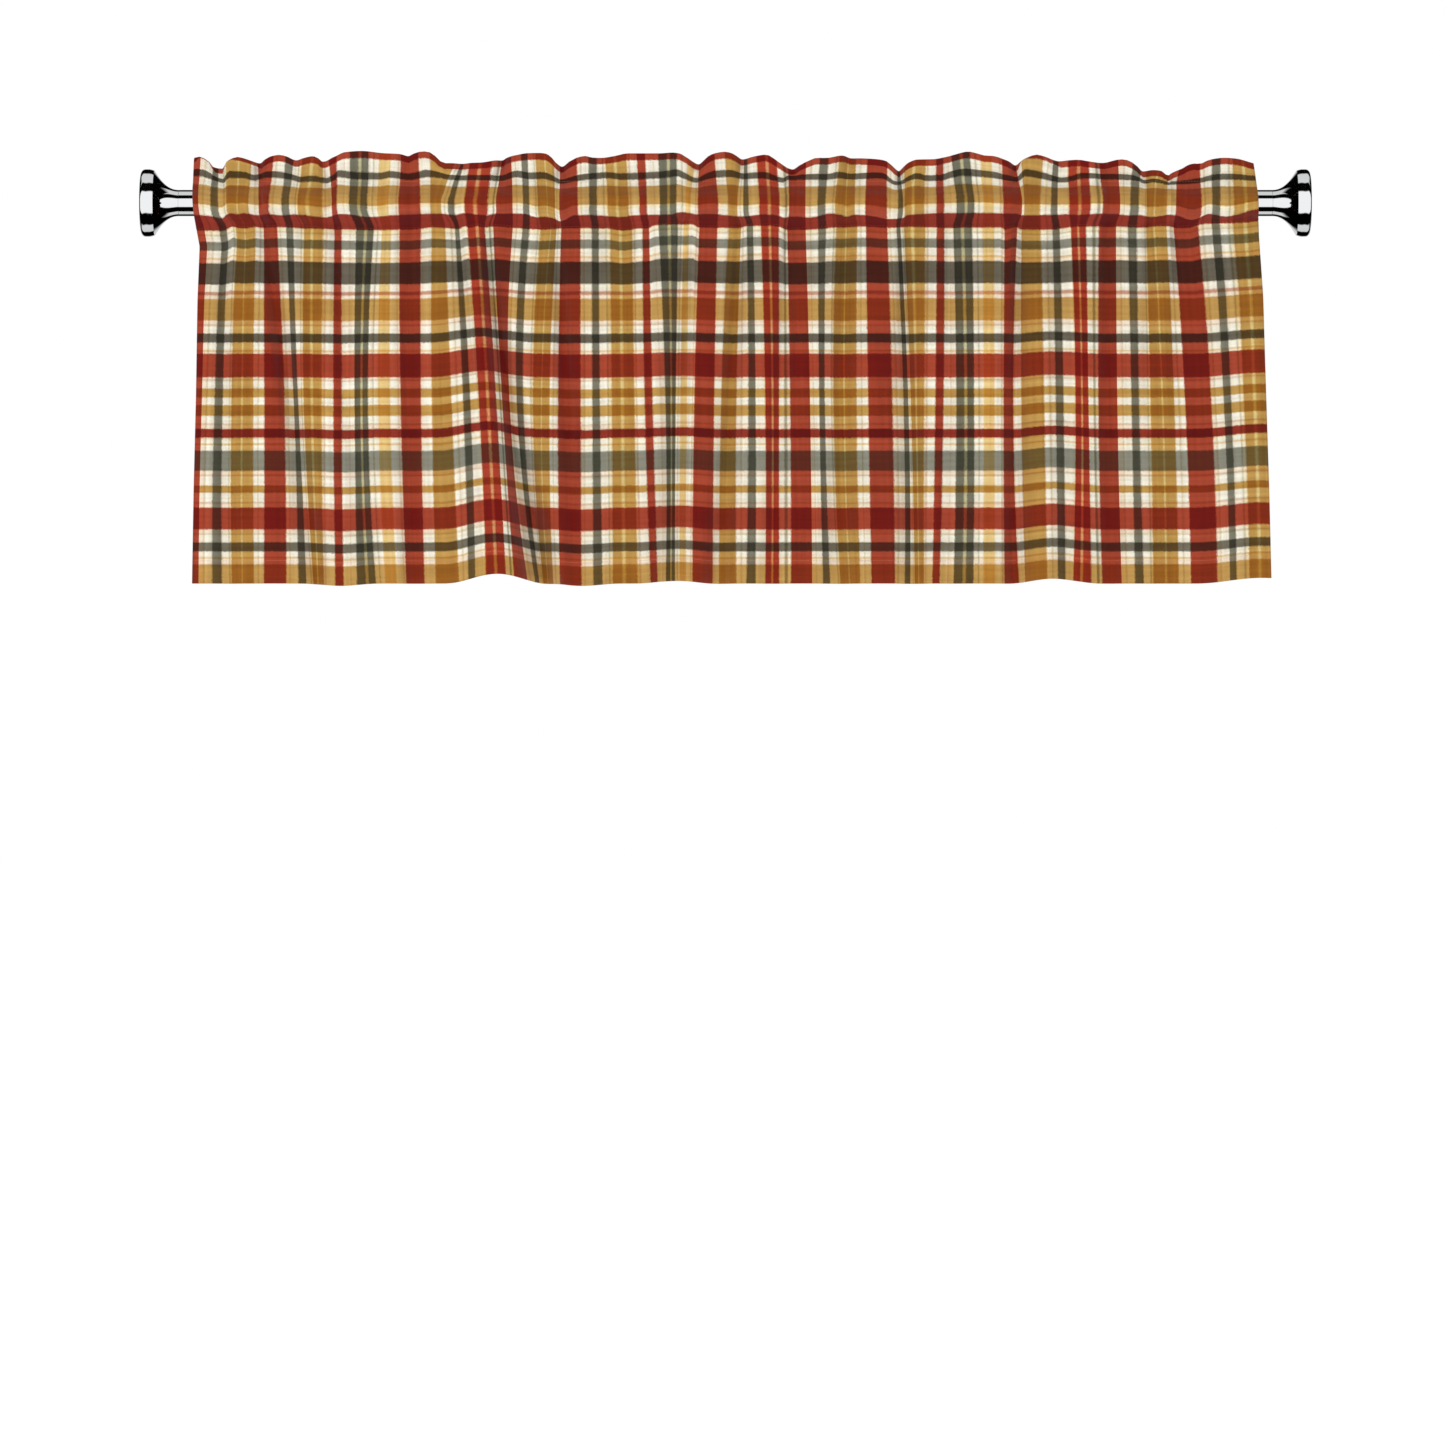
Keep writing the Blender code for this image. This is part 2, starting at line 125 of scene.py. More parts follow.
# Long soft ridges that stand towards the room, and how far each draws the cloth up
Ridge = namedtuple("Ridge", "seam hem out_seam out_hem lift_seam lift_hem half")
RIDGES = (
    Ridge(-410, -410, 0, 3, 0, -2.5, 40),
    Ridge(-266, -243, 4, 22, 4, 10, 56),
    Ridge(-152, -152, 0, 4, 0, -2.5, 40),
    Ridge(-53, -53, 1, 3, 1, 3, 42),
    Ridge(352, 350, 1, 8, 1, 5, 50),
    Ridge(572, 572, 0, 4, 4, 6, 70),
)

# Narrow creases in the panel: place and drop where each starts and ends, its depth and half its width
Crease = namedtuple("Crease", "start_x start_drop end_x end_drop depth half")
CREASES = (
    Crease(-468, 0.0, -458, 0.75, 2.6, 7),
    Crease(-392, 0.30, -377, 0.70, 1.2, 6),
    Crease(-292, 0.0, -282, 0.12, 2.0, 6),
    Crease(-255, 0.0, -231, 0.56, 2.6, 7),
    Crease(-236, 0.40, -194, 0.99, 3.6, 8),
    Crease(-60, 0.25, -62, 1.0, 2.2, 7),
    Crease(26, 0.0, 20, 0.16, 2.2, 6),
    Crease(66, 0.0, 62, 0.12, 2.4, 6),
    Crease(100, 0.40, 118, 0.66, 1.6, 7),
    Crease(184, 0.0, 192, 0.34, 1.8, 8),
    Crease(313, 0.0, 308, 0.45, 1.9, 8),
    Crease(372, 0.0, 384, 0.62, 2.2, 8),
    Crease(478, 0.0, 486, 0.20, 2.0, 6),
    Crease(503, 0.0, 511, 0.20, 2.0, 6),
)

# Short creases of the pocket and header: place and height of their two ends, how far each stands out
# and half its width
Crumple = namedtuple("Crumple", "top_x top_z low_x low_z rise half")
CRUMPLES = (
    Crumple(-497, 30, -483, -27, 2.4, 5),
    Crumple(-430, 42, -463, 20, 2.0, 5),
    Crumple(-401, 16, -372, -29, 3.1, 6),
    Crumple(-301, 36, -289, -30, 2.4, 5),
    Crumple(-212, 28, -196, -27, 2.7, 6),
    Crumple(-53, 36, -46, -27, 2.7, 6),
    Crumple(14, 33, 17, -30, 2.0, 4),
    Crumple(37, 33, 27, -30, 2.2, 5),
    Crumple(52, 37, 65, -27, 2.2, 5),
    Crumple(214, 40, 191, 16, 2.0, 5),
    Crumple(313, 37, 316, -27, 2.0, 5),
    Crumple(363, 40, 350, 19, 2.0, 5),
    Crumple(462, 24, 487, -18, 3.1, 6),
    Crumple(534, 37, 521, -8, 2.4, 6),
)

# The two side edges: height and place along the rod
Edge = namedtuple("Edge", "height left right")
EDGES = (
    Edge(-405.5, -568.2, 581.2),
    Edge(-307.0, -566.5, 578.8),
    Edge(-206.0, -564.0, 575.6),
    Edge(-104.0, -562.4, 572.6),
    Edge(-45.0, -560.3, 568.5),
    Edge(-15.0, -566.0, 567.5),
    Edge(17.0, -567.6, 566.0),
    Edge(49.0, -566.2, 562.8),
)

# Where the broad rust stripes lie: place in the flat cloth, then their two sides' places along the rod at
# the top edge, over the rod, just below the lower seam, half way down the panel and at the hem
BROAD_STRIPE = 26.25
ROD_PLACE = -0.35
SHEAR_PLACE = -0.20
EDGE_REACH = 90.0
LEAST_STRETCH = 0.35
Tack = namedtuple("Tack", "flat top rod seam middle hem")
TACKS = (
    Tack(79.8, (-499.7, -482.9), (-497.5, -487.2), (-493.3, -479.0), (-491.9, -471.5), (-492.4, -468.9)),
    Tack(254.6, (-346.3, -328.6), (-348.6, -325.3), (-348.4, -325.6), (-346.7, -325.3), (-340.9, -321.7)),
    Tack(382.7, (-239.5, -228.6), (-244.6, -226.7), (-248.3, -226.6), (-239.0, -231.0), (-225.7, -211.8)),
    Tack(482.5, (-177.2, -159.5), (-177.0, -158.0), (-175.3, -155.6), (-179.5, -155.0), (-176.6, -154.2)),
    Tack(657.3, (-28.4, -12.6), (-29.4, -8.5), (-27.8, -9.6), (-33.6, -12.6), (-35.7, -14.4)),
    Tack(785.4, (65.6, 85.9), (66.8, 85.1), (65.2, 85.5), (68.2, 90.2), (68.8, 92.3)),
    Tack(885.2, (151.1, 171.8), (148.3, 171.0), (149.2, 171.8), (151.7, 176.8), (155.2, 179.8)),
    Tack(1060.0, (294.6, 309.9), (294.7, 315.6), (297.5, 311.4), (296.4, 306.4), (297.2, 313.2)),
    Tack(1188.1, (398.0, 418.8), (400.8, 420.4), (397.0, 416.8), (396.3, 417.8), (400.7, 422.5)),
    Tack(1287.8, (482.8, 505.0), (479.2, 506.2), (477.8, 503.0), (489.5, 516.9), (495.6, 523.4)),
)

# Where the narrower stripes lie over the rod, just below the lower seam, half way down the panel and at
# the hem, as each edge's place in the flat cloth, in squares of FLAT_SQUARE, and along the drawing
FLAT_SQUARE = 1.05
NARROW_STRIPES = {
    "rod": (
        (19, 210.4), (27.5, 218.5), (39, 227.6), (63, 247.7), (113, 281.6), (122, 289.6), (134, 297.6),
        (156, 321.7), (167, 332), (176, 337.2), (189, 348.7), (209.5, 367.8),
        (278.5, 430.9), (300.5, 441.2), (311.5, 448.1), (320.5, 454.4), (332.5, 465.3), (352.5, 486),
        (402.5, 523.3), (411, 529), (422.5, 538.3), (446.5, 554.4), (496.5, 588.3), (505.5, 596.3),
        (517.5, 607.2), (539.5, 627.3), (550.5, 638.8), (559.5, 646.3), (572.5, 658.9), (593, 676.1),
        (662, 727.8), (684, 737), (695, 743.3), (704, 748.5), (716, 758.8), (736, 778.4),
        (786, 816.8), (794.5, 824.3), (806, 834.6), (830, 853.6), (880, 896.1), (889, 902.4),
        (901, 904.2), (923, 922.5), (934, 935.2), (943, 942.6), (956, 955.2), (976.5, 973.6),
        (1045.5, 1023.5), (1067.5, 1038.5), (1078.5, 1050), (1087.5, 1057), (1099.5, 1068.4),
        (1119.5, 1088.5), (1169.5, 1128.7), (1178, 1136.7), (1189.5, 1145.9), (1213.5, 1164.3),
        (1263.5, 1210.2), (1272.5, 1218),
    ),
    "seam": (
        (19, 218.4), (27.5, 226), (39, 235.9), (63, 252.6), (113, 285.2), (122, 292.2), (134, 303.6),
        (156, 321.5), (167, 333.5), (176, 341.2), (189, 354.9), (209.5, 374.1),
        (278.5, 431.7), (300.5, 443.9), (311.5, 454.6), (320.5, 459.1), (332.5, 467.3), (352.5, 483.6),
        (402.5, 522.2), (411, 528.7), (422.5, 540.9), (446.5, 555.8), (496.5, 590.9), (505.5, 597.9),
        (517.5, 609.3), (539.5, 630.9), (550.5, 641.8), (559.5, 648.8), (572.5, 656.7), (593, 677.7),
        (662, 727.9), (684, 741), (695, 746.7), (704, 753), (716, 760.3), (736, 777.9),
        (786, 817.7), (794.5, 825.2), (806, 836.1), (830, 856.4), (880, 895.4), (889, 899.8),
        (901, 903.8), (923, 924), (934, 935.7), (943, 943.6), (956, 952.4), (976.5, 971.7),
        (1045.5, 1021.8), (1067.5, 1039.7), (1078.5, 1052.2), (1087.5, 1059.9), (1099.5, 1070.6),
        (1119.5, 1084.6), (1169.5, 1127.1), (1178, 1135.3), (1189.5, 1146.3), (1213.5, 1165.1),
        (1263.5, 1210.4), (1272.5, 1218.8), (1284.5, 1231.4),
    ),
    "middle": (
        (19, 214.2), (27.5, 221.9), (39, 231.7), (63, 252.6), (113, 293.1), (122, 298.4), (134, 303.6),
        (156, 320.7), (167, 332.9), (176, 341.2), (189, 354), (209.5, 368),
        (278.5, 432), (300.5, 451.3), (311.5, 463.4), (320.5, 470.4), (332.5, 479.2), (352.5, 495.7),
        (402.5, 516.7), (411, 523), (422.5, 533.4), (446.5, 548.8), (496.5, 591.8), (505.5, 599.2),
        (517.5, 611.1), (539.5, 633.4), (550.5, 644.1), (559.5, 651.8), (572.5, 664.6), (593, 675.6),
        (662, 720.6), (684, 736.1), (695, 748.4), (704, 755.6), (716, 765.2), (736, 777.9),
        (786, 818.7), (794.5, 823.8), (806, 833.1), (830, 855.4), (880, 902.9), (889, 908.5),
        (901, 910.8), (923, 922.6), (934, 934.3), (943, 942.4), (956, 955), (976.5, 973.8),
        (1045.5, 1021.5), (1067.5, 1042.9), (1078.5, 1055.2), (1087.5, 1063.4), (1099.5, 1075.3),
        (1119.5, 1087.2), (1169.5, 1130.6), (1178, 1137.6), (1189.5, 1150.4), (1213.5, 1172.7),
        (1263.5, 1222.3), (1272.5, 1229.6), (1284.5, 1242.3),
    ),
    "hem": (
        (19, 212), (27.5, 221), (39, 232), (63, 253.5), (113, 298), (122, 306), (156, 323), (167, 335),
        (176, 343.5), (189, 356), (209.5, 376), (278.5, 436), (300.5, 459), (311.5, 469), (320.5, 476),
        (332.5, 486.5), (352.5, 506), (496.5, 592.5), (505.5, 602), (517.5, 612), (539.5, 636),
        (550.5, 650), (559.5, 657), (572.5, 665), (593, 675), (662, 719), (684, 736), (695, 746),
        (704, 755.5), (716, 765), (736, 778.5), (786, 822.5), (794.5, 829), (806, 841), (830, 859),
        (880, 904), (889, 910), (923, 923.5), (934, 931.5), (943, 938.4), (956, 952), (976.5, 973),
        (1045.5, 1025), (1067.5, 1046), (1078.5, 1057), (1087.5, 1065), (1099.5, 1073), (1119.5, 1090),
        (1169.5, 1134), (1178, 1142.5), (1189.5, 1153), (1213.5, 1177), (1263.5, 1228.6), (1272.5, 1235),
        (1284.5, 1248),
    ),
}

# Four lines of the gathered top, drawn on squared paper: squares across, then squares down. The
# rod's axis is the line CHART_AXIS, and its middle is the line CHART_MIDDLE.
CHART_SQUARE = 1.067
CHART_MIDDLE = 725.5
CHART_AXIS = 203.0
TOP_LINE = (
    (193, 160), (197, 156.8), (202, 157.8), (209, 162), (213, 167), (223.5, 168.7), (225.5, 163.5),
    (231, 159.5), (237, 157.4), (253, 161.6), (260, 163), (265, 160), (272, 156.5), (280, 155.3),
    (287, 157), (296, 160.5), (303, 158.7), (313, 156.7), (318, 158.5), (322, 161.7), (335, 157),
    (345, 152.6), (362, 151.4), (383, 153.6), (400, 154.4), (408, 156.2), (414, 153.8), (423, 151.8),
    (429, 152.5), (436, 157), (443.5, 163.6), (480, 163), (494, 161), (503, 160), (505.5, 158),
    (515, 155.8), (528, 153.6), (540, 153.4), (546, 154.2), (551, 157.5), (556, 163), (562, 166.3),
    (567, 163.6), (573, 159.5), (586, 156.4), (592, 158), (605, 157.8), (614, 156.6), (628, 153.8),
    (660, 153.8), (672, 153), (679, 153.8), (686, 157.5), (693, 161.8), (699, 164), (704, 160.5),
    (710, 155.6), (718, 153), (725, 152.2), (731, 153.4), (737, 156.5), (742, 159), (756, 156.5),
    (766, 155), (772, 157.8), (780, 163.5), (788, 168.3), (793, 169.2), (799, 166), (808, 161.5),
    (817, 158.3), (826, 158.4), (843, 155.8), (851, 158), (876, 159.6), (885, 161), (889, 163.6),
    (896, 169.5), (899, 170.8), (903, 167.5), (909, 162.8), (917, 160), (934, 159.6), (945, 157),
    (956, 154.6), (968, 152), (976, 153.6), (985, 156), (993, 156.4), (1003, 159.5), (1010, 162.3),
    (1016, 165), (1021, 161.5), (1025, 159), (1030, 156.8), (1036, 155), (1044, 156.8), (1053, 160),
    (1060, 161.2), (1078, 160.2), (1087, 161.5), (1097, 162.8), (1104, 162.8), (1121, 159.8),
    (1128, 160.8), (1135, 165), (1143, 171.2), (1152, 170.5), (1160, 171), (1168, 175.6), (1172, 173),
    (1182, 169), (1188, 165.5), (1193, 164), (1200, 164.2), (1206, 161.5), (1214, 159.2), (1224, 158.2),
    (1236, 159), (1246, 161.5), (1252, 163.6),
)
GREY_LINE = (
    (193, 171), (200, 171.5), (206, 173), (213, 176), (224, 179.8), (226, 178), (228, 173.5),
    (245, 174), (253.5, 177), (259, 175), (265, 173.3), (272, 173.3), (290, 175.6), (302, 178.9),
    (314, 178.4), (326, 180), (331, 178), (335, 176), (338, 172.4), (353, 175), (371, 175.6),
    (380, 175.6), (390, 173.3), (408, 175.6), (418, 174.7), (425, 172.4), (441, 173.5), (448, 176),
    (464, 176.5), (480, 176.8), (503, 177.2), (509, 175), (516, 172.8), (531, 175.3), (544, 174.7),
    (551, 177), (561, 180.7), (567, 180.2), (573, 178.5), (581, 177), (605, 173.8), (623, 176),
    (650, 174.7), (665, 173.5), (677, 171.5), (684, 174.7), (698, 179.6), (704, 176.5), (714, 173.3),
    (730, 172.4), (745, 174.8), (763, 174.2), (783, 179.3), (788, 175.6), (828, 176), (838, 173.8),
    (853, 175.2), (876, 174), (884, 174.5), (889, 178.9), (895, 182.6), (903, 181.2), (908, 178),
    (917, 174.7), (927, 177.5), (940, 177), (950, 173.3), (963, 171), (977, 171.9), (991, 173.3),
    (1006, 176.5), (1017, 178), (1021, 175.5), (1025, 171.5), (1039, 174.2), (1062, 179.3),
    (1069, 178.9), (1076, 176), (1085, 174.2), (1117, 175.6), (1137, 177), (1145, 180.5), (1153, 179.2),
    (1170, 181.8), (1186, 181.7), (1198, 180.2), (1209, 177.5), (1217, 176), (1236, 175.8), (1248, 177),
)
WINE_LINE = (
    (193, 214), (206, 214.5), (213, 215.4), (222.5, 217.4), (227, 214), (232, 212.6), (238, 213.5),
    (244, 212.2), (259, 214.5), (270, 213.5), (282, 214.7), (296, 213.5), (326, 216.8), (332, 215),
    (343, 213), (371, 216.3), (399, 214), (441, 213), (455, 214), (464, 212.6), (486, 214.5),
    (496, 213), (504, 213.2), (511, 212.6), (525, 213), (531, 215), (537, 216.8), (544, 215.9),
    (551, 216.8), (556, 218.6), (561, 221), (567, 218.6), (573, 215), (590, 214.2), (623, 216.3),
    (633, 214.5), (673, 214), (676.5, 212.2), (684, 211.7), (698, 214), (706, 213.2), (745, 215.8),
    (763, 214), (777, 215), (784, 217.2), (790, 215.9), (810, 216.8), (831, 212.6), (840, 213.8),
    (847, 215.9), (853, 214.2), (864, 214.5), (890, 218.6), (903, 217.2), (907, 214.4), (953, 212.2),
    (977, 212.2), (1014, 213), (1025, 214.5), (1067, 213.5), (1076, 214.5), (1099, 213), (1117, 213.5),
    (1129, 215), (1137, 214.2), (1153, 216.3), (1170, 214), (1179, 215.4), (1186, 218.6), (1192, 220),
    (1197, 218.6), (1208, 213.5), (1225, 216.3), (1236, 214.6), (1248, 210.8), (1257, 209),
)
SEAM_LINE = (
    (193, 230), (222, 230.2), (227, 228.5), (233, 226), (238, 227.4), (248, 228), (253.5, 226),
    (259, 227), (276, 226.6), (305, 227.9), (342, 228.8), (373, 229.7), (420, 228.3), (432, 227),
    (458, 228.3), (465, 226), (471, 227.9), (475, 226), (485, 227), (495, 226), (513, 227.4),
    (544, 229.2), (560, 227.9), (605, 227.8), (623, 230.2), (640, 227.9), (648, 227.7), (655, 224.8),
    (693, 223.7), (699, 227), (730, 227.4), (741, 227), (746, 225.6), (768, 225.2), (779, 226),
    (786, 228.8), (800, 229.3), (817, 228.8), (832, 227.2), (864, 226.2), (889, 227.4), (903, 226.3),
    (950, 227.2), (1000, 227), (1005, 228.8), (1016, 226), (1022, 228.8), (1039, 229.3), (1053, 228.8),
    (1068, 227), (1076, 226), (1117, 226), (1137, 227), (1160, 225.7), (1170, 225.9), (1180, 227.4),
    (1188, 227.4), (1197, 224.5), (1207, 223.3), (1236, 222.6), (1248, 221.9), (1257, 220.5),
)
# Places along the rod where the top edge has rolled to the back, and how many millimetres of it
ROLLED = (
    (193, 0), (198, 5), (200, 7), (211, 7), (213.5, 1), (223, 1), (225.5, 9), (233, 6), (238, 3.4),
    (256, 3.2), (262, 0), (1018, 0), (1022, 9), (1028, 6), (1034, 3.4), (1055, 3.2), (1062, 0),
)
EDGE_STRIPE = 6.6
EDGE_STRIPE_SEEN = 6.0
GREY_MIDDLE = 24.5
GREY_HEIGHT = 30.2
GOLD_TOP = (17.8, 36.9)
GOLD_FOLLOWS = 0.45
WINE_TOP = 71.0
WINE_BOTTOM = 87.1

# How finely the cloth is meshed
COLUMNS = 408
FOLD_DENSITY = 1.5
PANEL_STEPS = 62
PANEL_CROWDING = 1.3
ARC_STEPS = 9
STRAIGHT_STEPS = 4
HEADER_STEPS = 8
TOP_STEPS = 4
BACK_HEADER_STEPS = 5
BACK_ARC_STEPS = 6
TURN_STEPS = 3
HEM_STEPS = 6
SIDE_STEPS = 3
CORNER_EASE = 8.0

# Yarn colours as the share of light that each lets through over the cream ground, in sRGB
CREAM = (0.952, 0.936, 0.875)
BARE = (1.0, 1.0, 1.0)
BLUSH = (0.995, 0.95, 0.92)
BUTTER = (0.995, 0.965, 0.885)
RUST = (0.68, 0.285, 0.205)
OLD_RED = (0.60, 0.21, 0.16)
SCARLET = (0.70, 0.26, 0.18)
OCHRE = (0.785, 0.63, 0.36)
GOLD = (0.79, 0.635, 0.38)
STRAW = (0.95, 0.84, 0.61)
PALE_YELLOW = (0.90, 0.83, 0.60)
SAGE = (0.80, 0.79, 0.67)
PEACH = (0.88, 0.64, 0.47)
GREY = (0.51, 0.51, 0.475)
DEEP_GREY = (0.475, 0.48, 0.44)
MID_GREY = (0.72, 0.72, 0.66)
DARK_GREY = (0.425, 0.41, 0.38)
WEFT_GREY = (0.47, 0.455, 0.42)
LIGHT_GREY = (0.57, 0.58, 0.56)
THIN_GREY = (0.82, 0.82, 0.76)
THIN_BEIGE = (0.89, 0.86, 0.79)
THIN_PINK = (0.90, 0.82, 0.77)
THIN_RED = (0.82, 0.64, 0.58)
THIN_OCHRE = (0.92, 0.82, 0.65)

# The chart of the check across the cloth: the far edge of each stripe, in millimetres of one repeat that
# starts at the left edge of the cloth's first whole cream stripe
WARP_REPEAT = 402.7
WARP_START = 6.3
WARP = (
    (3.2, BLUSH), (4.8, THIN_BEIGE), (13.6, BARE), (22.6, GREY), (30.2, BARE), (32.6, THIN_GREY),
    (34.6, BUTTER), (46.0, OCHRE), (48.5, PALE_YELLOW), (59.9, OCHRE), (66.0, BARE), (67.4, THIN_BEIGE),
    (73.5, BARE), (99.7, RUST), (102.8, BLUSH), (104.4, THIN_BEIGE), (112.3, BARE), (121.8, GREY),
    (129.6, BARE), (132.0, THIN_GREY), (134.4, BUTTER), (144.7, OCHRE), (147.2, PALE_YELLOW),
    (157.5, OCHRE), (160.2, BUTTER), (162.0, THIN_PINK), (169.0, BARE), (178.5, RUST), (186.2, BARE),
    (187.9, THIN_PINK), (192.1, BARE), (201.6, DEEP_GREY), (204.7, SAGE), (213.7, DEEP_GREY), (217.2, BARE),
    (219.4, THIN_GREY), (224.2, BARE), (236.8, STRAW), (244.0, BARE), (245.6, THIN_PINK), (248.3, BLUSH),
    (274.6, RUST), (278.0, BLUSH), (286.1, BARE), (309.2, OCHRE), (314.5, BARE), (316.0, THIN_BEIGE),
    (320.8, BARE), (330.2, GREY), (340.0, BARE), (342.8, BUTTER), (352.3, SCARLET), (354.4, PEACH),
    (363.8, SCARLET), (370.7, BARE), (373.2, MID_GREY), (376.4, BARE), (402.7, RUST),
)

# The chart down the cloth: the far edge of each stripe, in millimetres below the folded top edge
WEFT = (
    (6.6, RUST), (20.8, BARE), (28.2, DARK_GREY), (36.9, BARE), (59.8, GOLD), (63.0, BUTTER), (71.0, BARE),
    (87.1, OLD_RED), (90.3, BUTTER), (91.8, THIN_BEIGE), (98.9, BARE), (108.4, LIGHT_GREY), (115.4, BARE),
    (118.6, THIN_OCHRE), (121.4, BLUSH), (145.3, DARK_GREY), (153.6, BARE), (156.8, THIN_RED),
    (160.6, BLUSH), (185.2, GOLD), (188.4, BLUSH), (189.8, THIN_PINK), (198.7, BARE), (208.5, DARK_GREY),
    (215.2, BARE), (217.4, THIN_OCHRE), (220.7, BLUSH), (245.4, RUST), (248.0, BLUSH), (249.8, THIN_PINK),
    (257.6, BARE), (267.4, OCHRE), (273.5, BARE), (287.0, OCHRE), (294.0, BARE), (296.0, THIN_PINK),
    (300.5, BLUSH), (309.0, OLD_RED), (312.0, BUTTER), (315.2, BARE), (317.6, THIN_OCHRE), (322.5, BARE),
    (345.7, LIGHT_GREY), (349.6, BLUSH), (351.4, THIN_PINK), (360.4, BARE), (369.1, OCHRE), (377.2, BARE),
    (379.2, THIN_PINK), (383.7, BLUSH), (408.2, RUST), (411.8, BLUSH), (414.0, THIN_BEIGE), (421.7, BARE),
    (430.3, WEFT_GREY), (436.6, BARE), (438.8, THIN_OCHRE), (443.8, BLUSH), (466.7, GOLD), (472.6, BARE),
    (488.7, OLD_RED), (500.0, BARE),
)
WEFT_REPEAT = 401.6
MOST_STOPS = 30
YARN_WIDTH = 0.35
YARN_WANDER = 0.85
STREAK_SHADE = (0.76, 0.72, 0.66)
STREAK_LIGHT = (1.08, 1.08, 1.08)

# Stitches
STITCH_LENGTH = 2.3
STITCH_PITCH = 3.1
STITCH_RADIUS = 0.15
HEM_STITCH_INSET = 3.0
WINE_THREAD = ((0.50, 0.20, 0.15), (0.60, 0.27, 0.20))
STRAW_THREAD = ((0.62, 0.48, 0.35), (0.74, 0.60, 0.46))

# Camera and light, in metres
CAMERA_DISTANCE = 8.0
FRAME_WIDTH = 1.542
FRAME_CENTRE_HEIGHT = -0.5543
FRAME_CENTRE_ACROSS = -0.0032
SENSOR = 36.0
# The white and black cards that the chrome mirrors: half turns up from straight ahead, and how light
CARDS = (
    (-1.0, 0.7), (-0.93, 0.7), (-0.88, 0.0), (-0.675, 0.0), (-0.65, 0.70), (-0.47, 0.74), (-0.45, 0.0),
    (-0.215, 0.0), (-0.195, 1.0), (0.19, 1.0), (0.205, 0.0), (0.37, 0.0), (0.39, 0.74), (0.63, 0.70),
    (0.655, 0.0), (0.88, 0.0), (0.93, 0.7), (1.0, 0.7),
)
CARD_WRAP = 0.30
SIDE_FLAG = (0.55, 0.75)
FLAG_REACH = 0.20
MOST_MIRRORED = 1.5
FLOOR_HEIGHT = -1.45
FLOOR_RADIUS = 40.0


def linear(colour):
    """A linear colour from an sRGB one."""
    return tuple(((value + 0.055) / 1.055) ** 2.4 if value > 0.04045 else value / 12.92 for value in colour)


def bump(distance, half):
    """1 at the middle, falling smoothly to 0 at half to each side."""
    return 0.5 * (1.0 + np.cos(math.pi * np.clip(distance / half, -1.0, 1.0)))


def step_up(distance, half):
    """The running share of a bump: 0 before it, 1 after it."""
    part = np.clip(distance / half, -1.0, 1.0)
    return 0.5 * (1.0 + part + np.sin(math.pi * part) / math.pi)


def ease(part):
    part = np.clip(part, 0.0, 1.0)
    return part * part * (3.0 - 2.0 * part)


def arc_share():
    """How much longer a cosine trough is than its width, for a list of its steepest slopes."""
    slopes = np.linspace(0.0, 8.0, 161)
    phase = np.linspace(0.0, math.pi, 65)
    share = np.sqrt(1.0 + (slopes[:, None] * np.sin(phase)) ** 2).mean(axis=1)
    return slopes, share


SLOPES, SHARES = arc_share()


def trough_depth(take, half):
    """The depth at which a trough of this half width takes up this much cloth."""
    return np.interp(1.0 + take / (2.0 * half), SHARES, SLOPES) * 2.0 * half / math.pi


def through(start, middle, end, drop):
    """A smooth curve through three values, at the lower seam, half way down and at the hem."""
    return (
        start * (1.0 - drop) * (1.0 - 2.0 * drop)
        + middle * 4.0 * drop * (1.0 - drop)
        + end * drop * (2.0 * drop - 1.0)
    )


def fold_centre(fold, drop):
    if drop < 0.0:
        return fold.seam + (fold.head - fold.seam) * -drop
    return through(fold.seam, fold.middle, fold.hem, drop)


def fold_take(fold, drop):
    """The cloth that a fold takes up: the small ones fade soon below the seam."""
    if drop <= 0.0:
        return fold.take_rod
    if drop < 0.5:
        return fold.take_rod + (fold.take_middle - fold.take_rod) * math.sqrt(2.0 * drop)
    return fold.take_middle + (fold.take_hem - fold.take_middle) * (2.0 * drop - 1.0)


def fold_half(fold, drop):
    if drop <= 0.0:
        return fold.half_rod * ROD_SPREAD
    spread = ROD_SPREAD + (1.0 - ROD_SPREAD) * ease(drop / SEAM_REACH)
    return fold.half_rod * spread + (fold.half_hem - fold.half_rod) * math.sqrt(drop)


def side_edges(height):
    heights = [edge.height for edge in EDGES]
    left = np.interp(height, heights, [edge.left for edge in EDGES])
    right = np.interp(height, heights, [edge.right for edge in EDGES])
    return left, right


def pinned(level):
    """The pinned stripe edges at one height: their places along the rod and in the flat cloth."""
    places = []
    flats = []
    for tack in TACKS:
        for side in (0, 1):
            places.append(getattr(tack, level)[side])
            flats.append(tack.flat + BROAD_STRIPE * side)
    for flat, place in NARROW_STRIPES.get(level, ()):
        places.append((place - CHART_MIDDLE) * CHART_SQUARE)
        flats.append(flat * FLAT_SQUARE)
    order = np.argsort(flats)
    return np.array(places)[order], np.array(flats)[order]


def flat_places(level, drop, height):
    """Places along the rod, and where each lies in the flat cloth, for one height."""
    left, right = side_edges(height)
    x = np.linspace(left, right, 4601)
    flat = x - left
    for fold in FOLDS:
        flat = flat + fold_take(fold, drop) * step_up(x - fold_centre(fold, drop), fold_half(fold, drop))
    places, flats = pinned(level)
    miss = flats - np.interp(places, x, flat)
    places = np.array([left, *places, right])
    miss = np.array([0.0, *miss, FLAT_WIDTH - flat[-1]])
    flat = flat + np.interp(x, places, miss)
    least = LEAST_STRETCH * np.arange(len(x)) * (x[1] - x[0])
    flat = np.maximum.accumulate(flat - least) + least
    return x, flat * FLAT_WIDTH / flat[-1]


